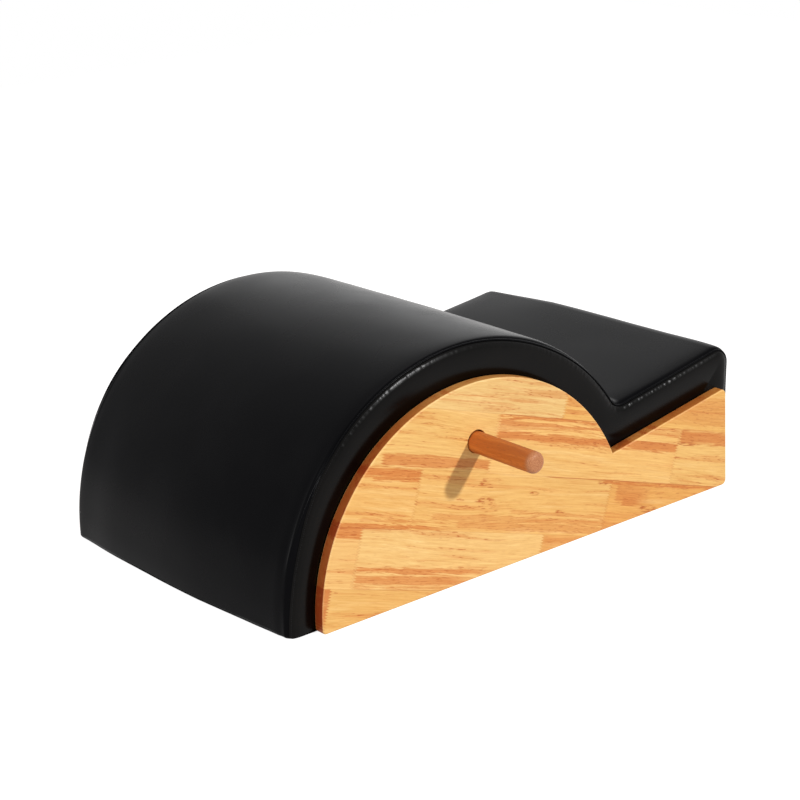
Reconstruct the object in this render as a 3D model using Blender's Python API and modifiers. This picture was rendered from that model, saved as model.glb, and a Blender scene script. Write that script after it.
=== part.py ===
"""Spine corrector: a padded half barrel that runs down into a low ramp, between two solid wood side
panels, with a pull-out wooden hand grip through each panel.

Metres, +Z up. +X runs from the barrel to the step, and the origin is on the floor under the middle.
Side outlines are worked out as (u, z) pairs, with u measured from the barrel's axis.
"""

import math

import bmesh
import bpy

# Side panels
PANEL_LENGTH = 0.800
PANEL_THICKNESS = 0.019
PANEL_CORNER = 0.009
PANEL_EDGE_ROUND = 0.0035
BARREL_RADIUS = 0.288
BARREL_AXIS_HEIGHT = 0.007
STEP_HEIGHT = 0.161
RAMP_ANGLE = 10.0
CORE_WIDTH = 0.5466

# Upholstery: how far the leather stands above each edge of the side panel
RISE_BARREL = 0.0475
RISE_RAMP = 0.052
RISE_END = 0.019
CROWN = 0.001
EDGE_ROLL = 0.003
FOOT_SWELL = 0.009
SIDE_DRAW_IN = 0.003
SIDE_ROUND = 0.014
PAD_FOOT_ROUND = 0.008
PAD_VALLEY_ROUND = 0.028
PAD_TOP_ROUND = 0.020
COVER_THICKNESS = 0.0015
COVER_FLOOR_GAP = 0.003
COVER_HEM = 0.035
GUSSET_THICKNESS = 0.0045

# Plywood and rails of the core
BENT_PLY = 0.0045
STEP_DECK = 0.012
END_BOARD = 0.012
BASE_BOARD = 0.009
FORMER = 0.015
RIB = 0.015
RAIL = 0.045
RAIL_EDGE = 0.002

# Hand grips
GRIP_DIAMETER = 0.0316
GRIP_HOLE_CLEARANCE = 0.00135
GRIP_HOLE_EASE = 0.0008
GRIP_REACH = 0.127
GRIP_DEPTH = 0.100
GRIP_END_ROUND = 0.008
GRIP_INNER_CHAMFER = 0.002
GRIP_BELOW_TOP = 0.088
SOCKET_WALL = 0.015
SOCKET_FLOOR = 0.012
SOCKET_CLEARANCE = 0.0003
SOCKET_END_CLEARANCE = 0.0005

# Fasteners and feet
SCREW_SHANK = 0.005
SCREW_HEAD = 0.010
SCREW_HEAD_DEPTH = 0.003
SCREW_BITE = 0.013
SCREW_TIP = 0.4
SCREW_INSET = 0.070
SCREW_ANGLES = (160.0, 122.0, 58.0)
SCREW_LOW_HEIGHT = 0.065
SCREW_RAMP_SHARES = (0.70, 0.86)
FOOT_DIAMETER = 0.032
FOOT_INSET = 0.080
FOOT_CHAMFER = 0.0012

# Clearance between pieces that touch, and the fineness of round stretches
CONTACT_GAP = 0.0003
BARREL_STEPS = 40
CORNER_STEPS = 5
TURNED_STEPS = 40
SMALL_TURNED_STEPS = 14
WIDTH_STATIONS = (-1.0, -0.95, -0.82, -0.5, 0.0, 0.5, 0.82, 0.95, 1.0)
CROWN_POWER = 6
ROLL_POWER = 14
EDGE_ROUND_STEPS = 3
SHARP_ANGLE = math.radians(35)
FLAT_ANGLE = math.radians(0.5)
WELD_DISTANCE = 1e-6
TURNED_WELD = 1e-5
CUTTER_OVERRUN = 0.004

# Values that follow from the ones above
STEP_END = PANEL_LENGTH - BARREL_RADIUS
SLOPE = math.tan(math.radians(RAMP_ANGLE))
GRIP_HEIGHT = BARREL_AXIS_HEIGHT + BARREL_RADIUS - GRIP_BELOW_TOP
PANEL_INNER_Y = CORE_WIDTH / 2
PANEL_OUTER_Y = PANEL_INNER_Y + PANEL_THICKNESS
GUSSET_OUTER_Y = PANEL_INNER_Y - CONTACT_GAP
SEAM_Y = GUSSET_OUTER_Y - SIDE_DRAW_IN
CORE_Y = GUSSET_OUTER_Y - GUSSET_THICKNESS - CONTACT_GAP
FORMER_INNER_Y = CORE_Y - FORMER
BOARD_BOTTOM = COVER_FLOOR_GAP + COVER_THICKNESS + CONTACT_GAP
BOARD_TOP = BOARD_BOTTOM + BASE_BOARD
CORE_BASE = BOARD_TOP + CONTACT_GAP
DECK_DEPTH = 2 * BENT_PLY + CONTACT_GAP
CORE_RADIUS = BARREL_RADIUS - DECK_DEPTH - CONTACT_GAP
UNDER_STEP_DECK = -STEP_DECK - CONTACT_GAP
UNDER_COVER = COVER_THICKNESS + CONTACT_GAP
SOCKET_BORE = GRIP_DIAMETER / 2 + SOCKET_CLEARANCE
SOCKET_HALF = SOCKET_BORE + SOCKET_WALL
SIDES = {"left": -1, "right": 1}


def clear_scene():
    for obj in list(bpy.context.scene.objects):
        bpy.data.objects.remove(obj, do_unlink=True)


def new_collection(name, shown):
    group = bpy.data.collections.new(name)
    bpy.context.scene.collection.children.link(group)
    group.hide_render = not shown
    return group


def new_material(name, colour, roughness, metallic=0.0):
    made = bpy.data.materials.new(name)
    made.use_nodes = True
    shader = made.node_tree.nodes["Principled BSDF"]
    shader.inputs["Base Color"].default_value = (*colour, 1.0)
    shader.inputs["Roughness"].default_value = roughness
    shader.inputs["Metallic"].default_value = metallic
    made.diffuse_color = (*colour, 1.0)
    return made


clear_scene()
parts = new_collection("spine_corrector", True)
cutters = new_collection("spine_corrector_cutters", False)
origin = bpy.data.objects.new("spine_corrector_origin", None)
parts.objects.link(origin)

panel_wood = new_material("panel_rubberwood", (0.78, 0.52, 0.26), 0.42)
grip_wood = new_material("grip_hardwood", (0.52, 0.22, 0.07), 0.45)
plywood = new_material("birch_plywood", (0.70, 0.56, 0.38), 0.65)
softwood = new_material("pine_rail", (0.74, 0.58, 0.36), 0.70)
foam = new_material("cushion_foam", (0.80, 0.74, 0.52), 0.95)
leather = new_material("black_leather", (0.012, 0.012, 0.013), 0.38)
rubber = new_material("foot_rubber", (0.02, 0.02, 0.02), 0.85)
zinc_steel = new_material("screw_steel", (0.60, 0.60, 0.62), 0.35, 1.0)


# Side outlines

def arc(centre, radius, start, end, steps):
    """Points along an arc, angles in degrees, with both ends. A radius of nothing gives its centre."""
    if radius == 0:
        return [centre]
    angles = [math.radians(start + (end - start) * i / steps) for i in range(steps + 1)]
    return [(centre[0] + radius * math.cos(a), centre[1] + radius * math.sin(a)) for a in angles]


def ramp_height(u, rise=0.0):
    """Height of the line that runs along the ramp, rise above the panel's edge."""
    return STEP_HEIGHT + SLOPE * (u - STEP_END) + rise / math.cos(math.radians(RAMP_ANGLE))


def barrel_meets_ramp(radius, rise):
    """Where a circle about the barrel's axis meets the line that lies above the ramp by rise."""
    level = ramp_height(0.0, rise) - BARREL_AXIS_HEIGHT
    half_b = SLOPE * level
    a = 1 + SLOPE**2
    u = (-half_b + math.sqrt(half_b**2 - a * (level**2 - radius**2))) / a
    return u, ramp_height(u, rise)


def angle_about_axis(point):
    return math.degrees(math.atan2(point[1] - BARREL_AXIS_HEIGHT, point[0])) % 360


def barrel_arc(radius, start, end, swell=0.0):
    """The barrel's round, which swells towards the floor on its outer side only."""
    points = []
    for i in range(BARREL_STEPS + 1):
        a = math.radians(start + (end - start) * i / BARREL_STEPS)
        grown = radius + swell * min(math.cos(a), 0.0) ** 2
        points.append((grown * math.cos(a), BARREL_AXIS_HEIGHT + grown * math.sin(a)))
    return points


def side_outline(rises, base, rounds, swell=0.0):
    """The side view from the barrel's foot, over the barrel, through the valley and down the step's end.

    rises are those over the barrel, the ramp and the end; rounds are the radii at the barrel's foot,
    in the valley, at the step's top and at its heel. The bottom edge closes the outline.
    """
    barrel, ramp, end = rises
    foot, valley, top, heel = rounds
    reach = BARREL_RADIUS + barrel + swell
    foot_rise = base + foot - BARREL_AXIS_HEIGHT
    foot_centre = (-math.sqrt((reach - foot) ** 2 - foot_rise**2), base + foot)
    foot_angle = angle_about_axis(foot_centre)
    valley_centre = barrel_meets_ramp(BARREL_RADIUS + barrel + valley, ramp + valley)
    valley_angle = angle_about_axis(valley_centre)
    end_u = STEP_END + end
    top_centre = (end_u - top, ramp_height(end_u - top, ramp - top))
    heel_centre = (end_u - heel, base + heel)
    points = arc(foot_centre, foot, 270, foot_angle, CORNER_STEPS)
    points += barrel_arc(BARREL_RADIUS + barrel, foot_angle, valley_angle, swell)[1:-1]
    points += arc(valley_centre, valley, valley_angle + 180, 270 + RAMP_ANGLE, CORNER_STEPS)
    points += arc(top_centre, top, 90 + RAMP_ANGLE, 0, CORNER_STEPS)
    points += arc(heel_centre, heel, 0, -90, CORNER_STEPS)
    return points


def pad_outline(depth, share):
    """The leather's side view, depth under its face, at a share of the way from the middle to the seam."""
    full = 1 - abs(share) ** CROWN_POWER
    outer = abs(share) ** ROLL_POWER
    lift = CROWN * full + EDGE_ROLL * 4 * outer * (1 - outer) - depth
    rises = (RISE_BARREL + lift, RISE_RAMP + lift, RISE_END + lift)
    rounds = (PAD_FOOT_ROUND - depth, PAD_VALLEY_ROUND + depth, PAD_TOP_ROUND - depth, PAD_FOOT_ROUND - depth)
    return side_outline(rises, COVER_FLOOR_GAP + depth, rounds, FOOT_SWELL * full)


# The origin lies midway between the pad's two ends.
PAD_US = [u for share in WIDTH_STATIONS for u, _ in pad_outline(0.0, share)]
BARREL_X = -(min(PAD_US) + max(PAD_US)) / 2


# Solids

def place(name, mesh, finish, group=None):
    mesh.materials.clear()
    mesh.materials.append(finish)
    obj = bpy.data.objects.new(name, mesh)
    (group or parts).objects.link(obj)
    if group is None:
        obj.parent = origin
    return obj


def mesh_from(name, bm, smooth=False):
    bmesh.ops.recalc_face_normals(bm, faces=bm.faces)
    mesh = bpy.data.meshes.new(name)
    bm.to_mesh(mesh)
    bm.free()
    if smooth:
        mesh.shade_smooth()
        mesh.set_sharp_from_angle(angle=SHARP_ANGLE)
    return mesh


def plate(name, outline, middle_y, thickness, finish, edge_round=0.0):
    """A flat board cut to an outline, standing along the length and as thick as given across it."""
    curve = bpy.data.curves.new(name + "_outline", "CURVE")
    curve.dimensions = "2D"
    curve.fill_mode = "BOTH"
    curve.extrude = thickness / 2
    spline = curve.splines.new("POLY")
    spline.points.add(len(outline) - 1)
    for point, (u, z) in zip(spline.points, outline):
        point.co = (u, z, 0, 1)
    spline.use_cyclic_u = True
    guide = bpy.data.objects.new(name + "_outline", curve)
    guide.rotation_euler.x = math.radians(90)
    guide.location = (BARREL_X, middle_y, 0)
    parts.objects.link(guide)
    bpy.context.view_layer.update()
    graph = bpy.context.evaluated_depsgraph_get()
    mesh = bpy.data.meshes.new_from_object(guide.evaluated_get(graph))
    turned_to = guide.matrix_world.copy()
    bpy.data.objects.remove(guide)
    bm = bmesh.new()
    bm.from_mesh(mesh)
    bmesh.ops.remove_doubles(bm, verts=bm.verts, dist=WELD_DISTANCE)
    bmesh.ops.dissolve_limit(bm, angle_limit=FLAT_ANGLE, verts=bm.verts, edges=bm.edges)
    weights = bm.edges.layers.float.new("bevel_weight_edge")
    for edge in bm.edges:
        near, far = (vert.co.z for vert in edge.verts)
        edge[weights] = float(abs(near - far) < WELD_DISTANCE)
    bmesh.ops.recalc_face_normals(bm, faces=bm.faces)
    bm.to_mesh(mesh)
    bm.free()
    mesh.name = name
    obj = place(name, mesh, finish)
    obj.matrix_world = turned_to
    if edge_round:
        bevel = obj.modifiers.new("edge_round", "BEVEL")
        bevel.limit_method = "WEIGHT"
        bevel.width = edge_round
        bevel.segments = EDGE_ROUND_STEPS
        bevel.use_clamp_overlap = False
        mesh.shade_smooth()
        mesh.set_sharp_from_angle(angle=SHARP_ANGLE)
    return obj


def across_core(name, outline, finish):
    """A board as wide as the core, cut to an outline in the side view."""
    return plate(name, outline, 0.0, 2 * CORE_Y, finish)


def layer(name, stations, finish):
    """A bent layer between an outer and an inner path of as many points, given at stations across it."""
    bm = bmesh.new()
    rings = []
    for y, outer, inner in stations:
        loop = outer + inner[::-1]
        rings.append([bm.verts.new((u + BARREL_X, y, z)) for u, z in loop])
    count = len(rings[0])
    for near, far in zip(rings, rings[1:]):
        for i in range(count):
            j = (i + 1) % count
            bm.faces.new((near[i], near[j], far[j], far[i]))
    for ring in (rings[0], rings[-1]):
        for i in range(count // 2 - 1):
            bm.faces.new((ring[i], ring[i + 1], ring[count - 2 - i], ring[count - 1 - i]))
    return place(name, mesh_from(name, bm, smooth=True), finish)


def loft(name, stations, finish):
    """A solid through closed outlines of as many points, given at stations across it."""
    bm = bmesh.new()
    rings = [[bm.verts.new((u + BARREL_X, y, z)) for u, z in outline] for y, outline in stations]
    for near, far in zip(rings, rings[1:]):
        for i, first in enumerate(near):
            j = (i + 1) % len(near)
            bm.faces.new((first, near[j], far[j], far[i]))
    bm.faces.new(rings[0])
    bm.faces.new(rings[-1])
    return place(name, mesh_from(name, bm, smooth=True), finish)


def block(name, low, high, finish, edge=RAIL_EDGE, group=None):
    """A squared timber between two corners, with its arrises taken off."""
    bm = bmesh.new()
    bmesh.ops.create_cube(bm, size=1.0)
    for vert in bm.verts:
        vert.co = [low[i] + (vert.co[i] + 0.5) * (high[i] - low[i]) for i in range(3)]
    if edge:
        bmesh.ops.bevel(bm, geom=bm.edges, offset=edge, segments=1, affect="EDGES")
    return place(name, mesh_from(name, bm), finish, group)


def turned(name, profile, place_at, towards, finish, steps, group=None):
    """A turned piece: its profile is (radius, distance) from the tip down, and it points along Y."""
    bm = bmesh.new()
    chain = [bm.verts.new((radius, 0, distance)) for radius, distance in profile]
    for first, second in zip(chain, chain[1:]):
        bm.edges.new((first, second))
    mesh = bpy.data.meshes.new(name)
    bm.to_mesh(mesh)
    bm.free()
    obj = place(name, mesh, finish, group)
    obj.location = place_at
    obj.rotation_euler.x = math.radians(-90 * towards)
    screw = obj.modifiers.new("turn", "SCREW")
    screw.steps = steps
    screw.render_steps = steps
    screw.use_merge_vertices = True
    screw.merge_threshold = TURNED_WELD
    screw.use_smooth_shade = True
    return obj


def cut(obj, cutter, name):
    boolean = obj.modifiers.new(name, "BOOLEAN")
    boolean.object = cutter
    boolean.operation = "DIFFERENCE"
    boolean.solver = "EXACT"
    return boolean


def as_cutter(obj):
    obj.display_type = "WIRE"
    obj.hide_render = True
    return obj


# Wood side panels and the core's plywood

def make_panel(side, sign):
    outline = side_outline((0, 0, 0), 0.0, (PANEL_CORNER, 0, PANEL_CORNER, PANEL_CORNER))
    middle = sign * (PANEL_INNER_Y + PANEL_THICKNESS / 2)
    return plate(f"side_panel_{side}", outline, middle, PANEL_THICKNESS, panel_wood, PANEL_EDGE_ROUND)


def core_outline():
    rises = (-DECK_DEPTH - CONTACT_GAP, UNDER_STEP_DECK, -END_BOARD - CONTACT_GAP)
    return side_outline(rises, CORE_BASE, (0, 0, 0, 0))


def make_former(side, sign):
    return plate(f"core_former_{side}", core_outline(), sign * (CORE_Y - FORMER / 2), FORMER, plywood)


def make_bent_deck(name, outer_radius):
    """One skin of bent plywood: it stands on the base board and ends on the step's deck."""
    paths = []
    for radius in (outer_radius, outer_radius - BENT_PLY):
        over_axis = CORE_BASE - BARREL_AXIS_HEIGHT
        start = 180 - math.degrees(math.asin(over_axis / radius))
        end = angle_about_axis(barrel_meets_ramp(radius, CONTACT_GAP))
        paths.append(barrel_arc(radius, start, end))
    return layer(name, [(-CORE_Y, *paths), (CORE_Y, *paths)], plywood)


def make_step_deck():
    inner = BARREL_RADIUS - DECK_DEPTH
    top = barrel_meets_ramp(inner, 0.0)
    bottom = barrel_meets_ramp(inner, -STEP_DECK)
    outline = [top, (STEP_END, ramp_height(STEP_END)), (STEP_END, ramp_height(STEP_END, -STEP_DECK)), bottom]
    return across_core("step_deck", outline, plywood)


def make_end_board():
    inside = STEP_END - END_BOARD
    outline = [
        (inside, CORE_BASE),
        (inside, ramp_height(inside, UNDER_STEP_DECK)),
        (STEP_END, ramp_height(STEP_END, UNDER_STEP_DECK)),
        (STEP_END, CORE_BASE),
    ]
    return across_core("end_board", outline, plywood)


def make_base_board():
    low = (BARREL_X - BARREL_RADIUS, -CORE_Y, BOARD_BOTTOM)
    high = (BARREL_X + STEP_END, CORE_Y, BOARD_TOP)
    return block("base_board", low, high, plywood, edge=0)


def rail_places():
    """Each cross rail's lowest corner in the side view, and the ways in which its notch is open."""
    clear_radius = CORE_RADIUS - CONTACT_GAP
    foot_u = -math.sqrt(clear_radius**2 - (CORE_BASE + RAIL - BARREL_AXIS_HEIGHT) ** 2)
    ridge_u = SOCKET_HALF + CONTACT_GAP
    ridge_z = BARREL_AXIS_HEIGHT + math.sqrt(clear_radius**2 - (ridge_u + RAIL) ** 2) - RAIL
    valley_u = barrel_meets_ramp(CORE_RADIUS, UNDER_STEP_DECK)[0] + CONTACT_GAP
    valley_z = ramp_height(valley_u, UNDER_STEP_DECK - CONTACT_GAP) - RAIL
    end_u = STEP_END - END_BOARD - CONTACT_GAP - RAIL
    step_z = ramp_height(end_u, UNDER_STEP_DECK - CONTACT_GAP) - RAIL
    return {
        "foot_rail": (foot_u, CORE_BASE, (-1, -1)),
        "ridge_rail": (ridge_u, ridge_z, (0, 1)),
        "valley_rail": (valley_u, valley_z, (0, 1)),
        "step_rail": (end_u, step_z, (1, 1)),
        "heel_rail": (end_u, CORE_BASE, (1, -1)),
    }


def make_rail(name, u, z, open_ways, rib):
    half = FORMER_INNER_Y - CONTACT_GAP
    x = u + BARREL_X
    block(name, (x, -half, z), (x + RAIL, half, z + RAIL), softwood)
    low = [x - CONTACT_GAP, -RIB, z - CONTACT_GAP]
    high = [x + RAIL + CONTACT_GAP, RIB, z + RAIL + CONTACT_GAP]
    for axis, way in zip((0, 2), open_ways):
        corner = high if way > 0 else low
        corner[axis] += way * RAIL
    cut(rib, as_cutter(block(f"{name}_notch", low, high, softwood, 0, cutters)), f"{name}_notch")


# Upholstery

def make_cover_top():
    """The long leather strip, from its hem under the barrel's foot to its hem under the step's heel."""
    hem_ends = (COVER_HEM - BARREL_RADIUS, STEP_END - COVER_HEM)
    stations = []
    for share in WIDTH_STATIONS:
        paths = []
        for depth in (0.0, COVER_THICKNESS):
            first, last = [(u, COVER_FLOOR_GAP + depth) for u in hem_ends]
            paths.append([first] + pad_outline(depth, share) + [last])
        stations.append((share * SEAM_Y, *paths))
    return layer("cover_top", stations, leather)


def make_gusset(side, sign):
    """The leather side wall with its wadding, drawn in where it is sewn to the long strip."""
    foot = PAD_FOOT_ROUND - UNDER_COVER
    sections = [
        (GUSSET_THICKNESS, 0),
        (SIDE_DRAW_IN, 0),
        (SIDE_DRAW_IN / 3, SIDE_ROUND / 3),
        (0, SIDE_ROUND),
    ]
    shapes = []
    for inward, drop in sections:
        below = UNDER_COVER + drop
        rises = (RISE_BARREL - below, RISE_RAMP - below, RISE_END - below)
        rounds = (foot, PAD_VALLEY_ROUND + below, max(PAD_TOP_ROUND - below, 0), foot)
        shapes.append((sign * (GUSSET_OUTER_Y - inward), side_outline(rises, BOARD_BOTTOM, rounds)))
    return loft(f"gusset_{side}", shapes, leather)


def split_pad_outline(share):
    """The foam's face over the barrel and over the step, parted in the middle of the valley."""
    face = pad_outline(UNDER_COVER, share)
    valley_middle = CORNER_STEPS + BARREL_STEPS + CORNER_STEPS // 2
    return face[: valley_middle + 1], face[valley_middle + 1 : -CORNER_STEPS - 1]


def make_barrel_foam():
    radius = BARREL_RADIUS + CONTACT_GAP
    start = 180 + math.degrees(math.asin((BARREL_AXIS_HEIGHT - BOARD_BOTTOM) / radius))
    end = angle_about_axis(barrel_meets_ramp(radius, CONTACT_GAP))
    stations = []
    for share in WIDTH_STATIONS:
        outer = split_pad_outline(share)[0]
        count = len(outer) - 1
        steps = [math.radians(start + (end - start) * i / count) for i in range(count + 1)]
        inner = [(radius * math.cos(a), BARREL_AXIS_HEIGHT + radius * math.sin(a)) for a in steps]
        stations.append((share * CORE_Y, outer, inner))
    return layer("barrel_foam", stations, foam)


def make_step_foam():
    """The slab on the ramp, which overhangs the end board and carries the rounded front edge."""
    inner_u, inner_z = barrel_meets_ramp(BARREL_RADIUS + 2 * CONTACT_GAP, CONTACT_GAP)
    stations = []
    for share in WIDTH_STATIONS:
        outer = split_pad_outline(share)[1]
        end_u = outer[-1][0]
        under = [(end_u, STEP_HEIGHT + CONTACT_GAP), (STEP_END, ramp_height(STEP_END, CONTACT_GAP))]
        stations.append((share * CORE_Y, outer + under + [(inner_u, inner_z)]))
    return loft("step_foam", stations, foam)


def make_end_foam():
    stations = []
    for share in WIDTH_STATIONS:
        heel = pad_outline(UNDER_COVER, share)[-CORNER_STEPS - 1 :]
        end_u = heel[0][0]
        top = STEP_HEIGHT - CONTACT_GAP
        inner_u = STEP_END + CONTACT_GAP
        stations.append((share * CORE_Y, [(inner_u, top), (end_u, top)] + heel + [(inner_u, BOARD_BOTTOM)]))
    return loft("end_foam", stations, foam)


# Hand grips

def make_grip(side, sign):
    radius = GRIP_DIAMETER / 2
    tip = arc((radius - GRIP_END_ROUND, GRIP_REACH - GRIP_END_ROUND), GRIP_END_ROUND, 90, 0, CORNER_STEPS)
    inner = [
        (radius, GRIP_INNER_CHAMFER - GRIP_DEPTH),
        (radius - GRIP_INNER_CHAMFER, -GRIP_DEPTH),
        (0, -GRIP_DEPTH),
    ]
    profile = [(0, GRIP_REACH)] + tip + inner
    at = (BARREL_X, sign * PANEL_OUTER_Y, GRIP_HEIGHT)
    return turned(f"hand_grip_{side}", profile, at, sign, grip_wood, TURNED_STEPS)


def make_socket(side, sign):
    """A block behind the former and beside the ridge rail, bored blind for the grip's inner end."""
    face = FORMER_INNER_Y - CONTACT_GAP
    back = PANEL_OUTER_Y - GRIP_DEPTH - SOCKET_END_CLEARANCE - SOCKET_FLOOR
    ys = sorted((sign * face, sign * back))
    low = (BARREL_X - SOCKET_HALF, ys[0], GRIP_HEIGHT - SOCKET_HALF)
    high = (BARREL_X + SOCKET_HALF, ys[1], GRIP_HEIGHT + SOCKET_HALF)
    return block(f"grip_socket_{side}", low, high, softwood)


def make_grip_bore(side, sign):
    """The cutter for a grip's stepped bore: wide and eased in the panel, closer in the core."""
    wide = GRIP_DIAMETER / 2 + GRIP_HOLE_CLEARANCE
    step = PANEL_OUTER_Y - CORE_Y - CONTACT_GAP / 2
    profile = [
        (0, CUTTER_OVERRUN),
        (wide + GRIP_HOLE_EASE + CUTTER_OVERRUN, CUTTER_OVERRUN),
        (wide, -GRIP_HOLE_EASE),
        (wide, -step),
        (SOCKET_BORE, -step),
        (SOCKET_BORE, -GRIP_DEPTH - SOCKET_END_CLEARANCE),
        (0, -GRIP_DEPTH - SOCKET_END_CLEARANCE),
    ]
    at = (BARREL_X, sign * PANEL_OUTER_Y, GRIP_HEIGHT)
    return as_cutter(turned(f"grip_bore_{side}", profile, at, sign, grip_wood, TURNED_STEPS, cutters))


# Panel screws, driven from inside the core before the decks go on, and feet

def screw_places():
    ring = BARREL_RADIUS - SCREW_INSET
    places = []
    for degrees in SCREW_ANGLES:
        a = math.radians(degrees)
        places.append((ring * math.cos(a), BARREL_AXIS_HEIGHT + ring * math.sin(a)))
    return places + [(STEP_END * share, SCREW_LOW_HEIGHT) for share in SCREW_RAMP_SHARES]


def screw_profile(clearance, above=0.0):
    """From the point in the panel to the head, which is level with the former's inner face."""
    head = SCREW_HEAD / 2 + clearance
    shank = SCREW_SHANK / 2 + clearance
    length = PANEL_INNER_Y - FORMER_INNER_Y + SCREW_BITE + clearance
    point = [(0, length), (SCREW_TIP * shank, length - SCREW_TIP * shank), (shank, length - 2 * shank)]
    rim = [(head, 0), (head, -above)] if above else [(head, 0)]
    return point + [(shank, SCREW_HEAD_DEPTH)] + rim + [(0, -above)]


def make_screw(side, sign, number, u, z, pieces):
    at = (BARREL_X + u, sign * FORMER_INNER_Y, z)
    turned(f"panel_screw_{side}_{number}", screw_profile(0.0), at, sign, zinc_steel, SMALL_TURNED_STEPS)
    name = f"screw_hole_{side}_{number}"
    hole = screw_profile(CONTACT_GAP, CUTTER_OVERRUN)
    cutter = as_cutter(turned(name, hole, at, sign, zinc_steel, SMALL_TURNED_STEPS, cutters))
    for piece in pieces:
        cut(piece, cutter, name)


def make_foot(name, x, y):
    radius = FOOT_DIAMETER / 2
    top = BOARD_BOTTOM - CONTACT_GAP
    profile = [(0, top), (radius, top), (radius, FOOT_CHAMFER), (radius - FOOT_CHAMFER, 0), (0, 0)]
    foot = turned(name, profile, (x, y, 0), 1, rubber, SMALL_TURNED_STEPS * 2)
    foot.rotation_euler.x = 0
    return foot


# The rib comes first, because each rail cuts its own notch in it.
rib = plate("centre_rib", core_outline(), 0.0, RIB, plywood)
for rail_name, (rail_u, rail_z, open_ways) in rail_places().items():
    make_rail(rail_name, rail_u, rail_z, open_ways, rib)

make_bent_deck("barrel_deck_outer", BARREL_RADIUS)
make_bent_deck("barrel_deck_inner", BARREL_RADIUS - BENT_PLY - CONTACT_GAP)
make_step_deck()
make_end_board()
make_base_board()
make_barrel_foam()
make_step_foam()
make_end_foam()
make_cover_top()

for side, sign in SIDES.items():
    panel = make_panel(side, sign)
    former = make_former(side, sign)
    gusset = make_gusset(side, sign)
    bore = make_grip_bore(side, sign)
    for drilled in (panel, gusset, former, make_socket(side, sign)):
        cut(drilled, bore, "grip_bore")
    make_grip(side, sign)
    for number, (screw_u, screw_z) in enumerate(screw_places(), 1):
        make_screw(side, sign, number, screw_u, screw_z, (panel, gusset, former))
    foot_y = sign * (CORE_Y - FOOT_INSET)
    make_foot(f"foot_barrel_{side}", BARREL_X - BARREL_RADIUS + FOOT_INSET, foot_y)
    make_foot(f"foot_step_{side}", BARREL_X + STEP_END - FOOT_INSET, foot_y)
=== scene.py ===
# Spine corrector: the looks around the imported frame.
# Metres, +Z up, +X runs from the barrel to the step.
# Side outlines are (u, z) pairs, with u measured from the barrel's axis.

import math

import bmesh
import bpy
import numpy as np
from mathutils import Matrix, Vector, noise


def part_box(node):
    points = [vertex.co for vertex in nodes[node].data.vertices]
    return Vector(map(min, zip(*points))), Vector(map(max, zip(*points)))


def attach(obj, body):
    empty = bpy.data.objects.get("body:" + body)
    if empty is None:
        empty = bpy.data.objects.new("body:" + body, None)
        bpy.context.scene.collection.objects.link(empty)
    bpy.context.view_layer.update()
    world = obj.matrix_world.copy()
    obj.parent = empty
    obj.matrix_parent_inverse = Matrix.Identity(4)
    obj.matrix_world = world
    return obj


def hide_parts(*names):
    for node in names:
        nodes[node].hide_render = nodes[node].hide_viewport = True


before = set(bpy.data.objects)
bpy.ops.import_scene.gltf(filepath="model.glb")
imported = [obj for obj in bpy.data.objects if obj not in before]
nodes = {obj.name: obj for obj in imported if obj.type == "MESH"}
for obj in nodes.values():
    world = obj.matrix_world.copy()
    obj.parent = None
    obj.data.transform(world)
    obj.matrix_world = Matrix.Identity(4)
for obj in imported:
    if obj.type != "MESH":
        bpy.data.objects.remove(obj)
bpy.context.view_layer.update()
scene = bpy.context.scene
print("frame loaded:", len(nodes), "nodes")

mm = 0.001

# the side outline that the wood, the decks and the leather all follow
outlineShape = {
    "barrelRadius": 0.288,
    "axisHeight": 0.007,
    "stepHeight": 0.161,
    "stepEnd": 0.512,
    "rampAngle": 10.0,
}
barrelRadius = outlineShape["barrelRadius"]
axisHeight = outlineShape["axisHeight"]
rampTurn = math.radians(outlineShape["rampAngle"])
rampSlope = math.tan(rampTurn)
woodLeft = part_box("side_panel_left")[0].x
axisX = woodLeft + barrelRadius
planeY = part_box("side_panel_right")[0].y  # the wood panels' inner faces
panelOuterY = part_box("side_panel_right")[1].y
sides = {"left": -1, "right": 1}


def addObject(name, data):
    made = bpy.data.objects.new(name, data)
    scene.collection.objects.link(made)
    return made


# Camera

viewpoint = {
    "place": (-1.51704, -2.44549, 1.22336),  # from the wood's left end, at mid width, on the floor
    "azimuth": -37.811,
    "elevation": 18.662,
    "roll": 3.038,
    "lens": 94.81,
    "sensor": 36.0,
    "farthest": 50.0,
}


def makeCamera():
    a, e, r = (math.radians(viewpoint[key]) for key in ("azimuth", "elevation", "roll"))
    turn = Matrix.Rotation(a, 4, "Z") @ Matrix.Rotation(math.pi / 2 - e, 4, "X")
    turn = turn @ Matrix.Rotation(-r, 4, "Z")
    camera = bpy.data.cameras.new("camera")
    camera.lens = viewpoint["lens"]
    camera.sensor_width = viewpoint["sensor"]
    camera.clip_end = viewpoint["farthest"]
    obj = addObject("camera", camera)
    x, y, z = viewpoint["place"]
    obj.matrix_world = Matrix.Translation((woodLeft + x, y, z)) @ turn
    scene.camera = obj


makeCamera()
print("camera placed")


# Node helpers

def feed(node, inputs):
    # each input is linked to a socket or given a value of its own
    for key, value in inputs.items():
        if isinstance(value, bpy.types.NodeSocket):
            node.id_data.links.new(value, node.inputs[key])
        else:
            node.inputs[key].default_value = value


def addTo(tree, kind, inputs=None, **settings):
    made = tree.nodes.new(kind)
    for key, value in settings.items():
        setattr(made, key, value)
    feed(made, inputs or {})
    return made


def addNode(kind, inputs, **settings):
    # the node joins the tree of the sockets that are linked to it
    linked = (value for value in inputs.values() if isinstance(value, bpy.types.NodeSocket))
    return addTo(next(linked).id_data, kind, inputs, **settings)


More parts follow.
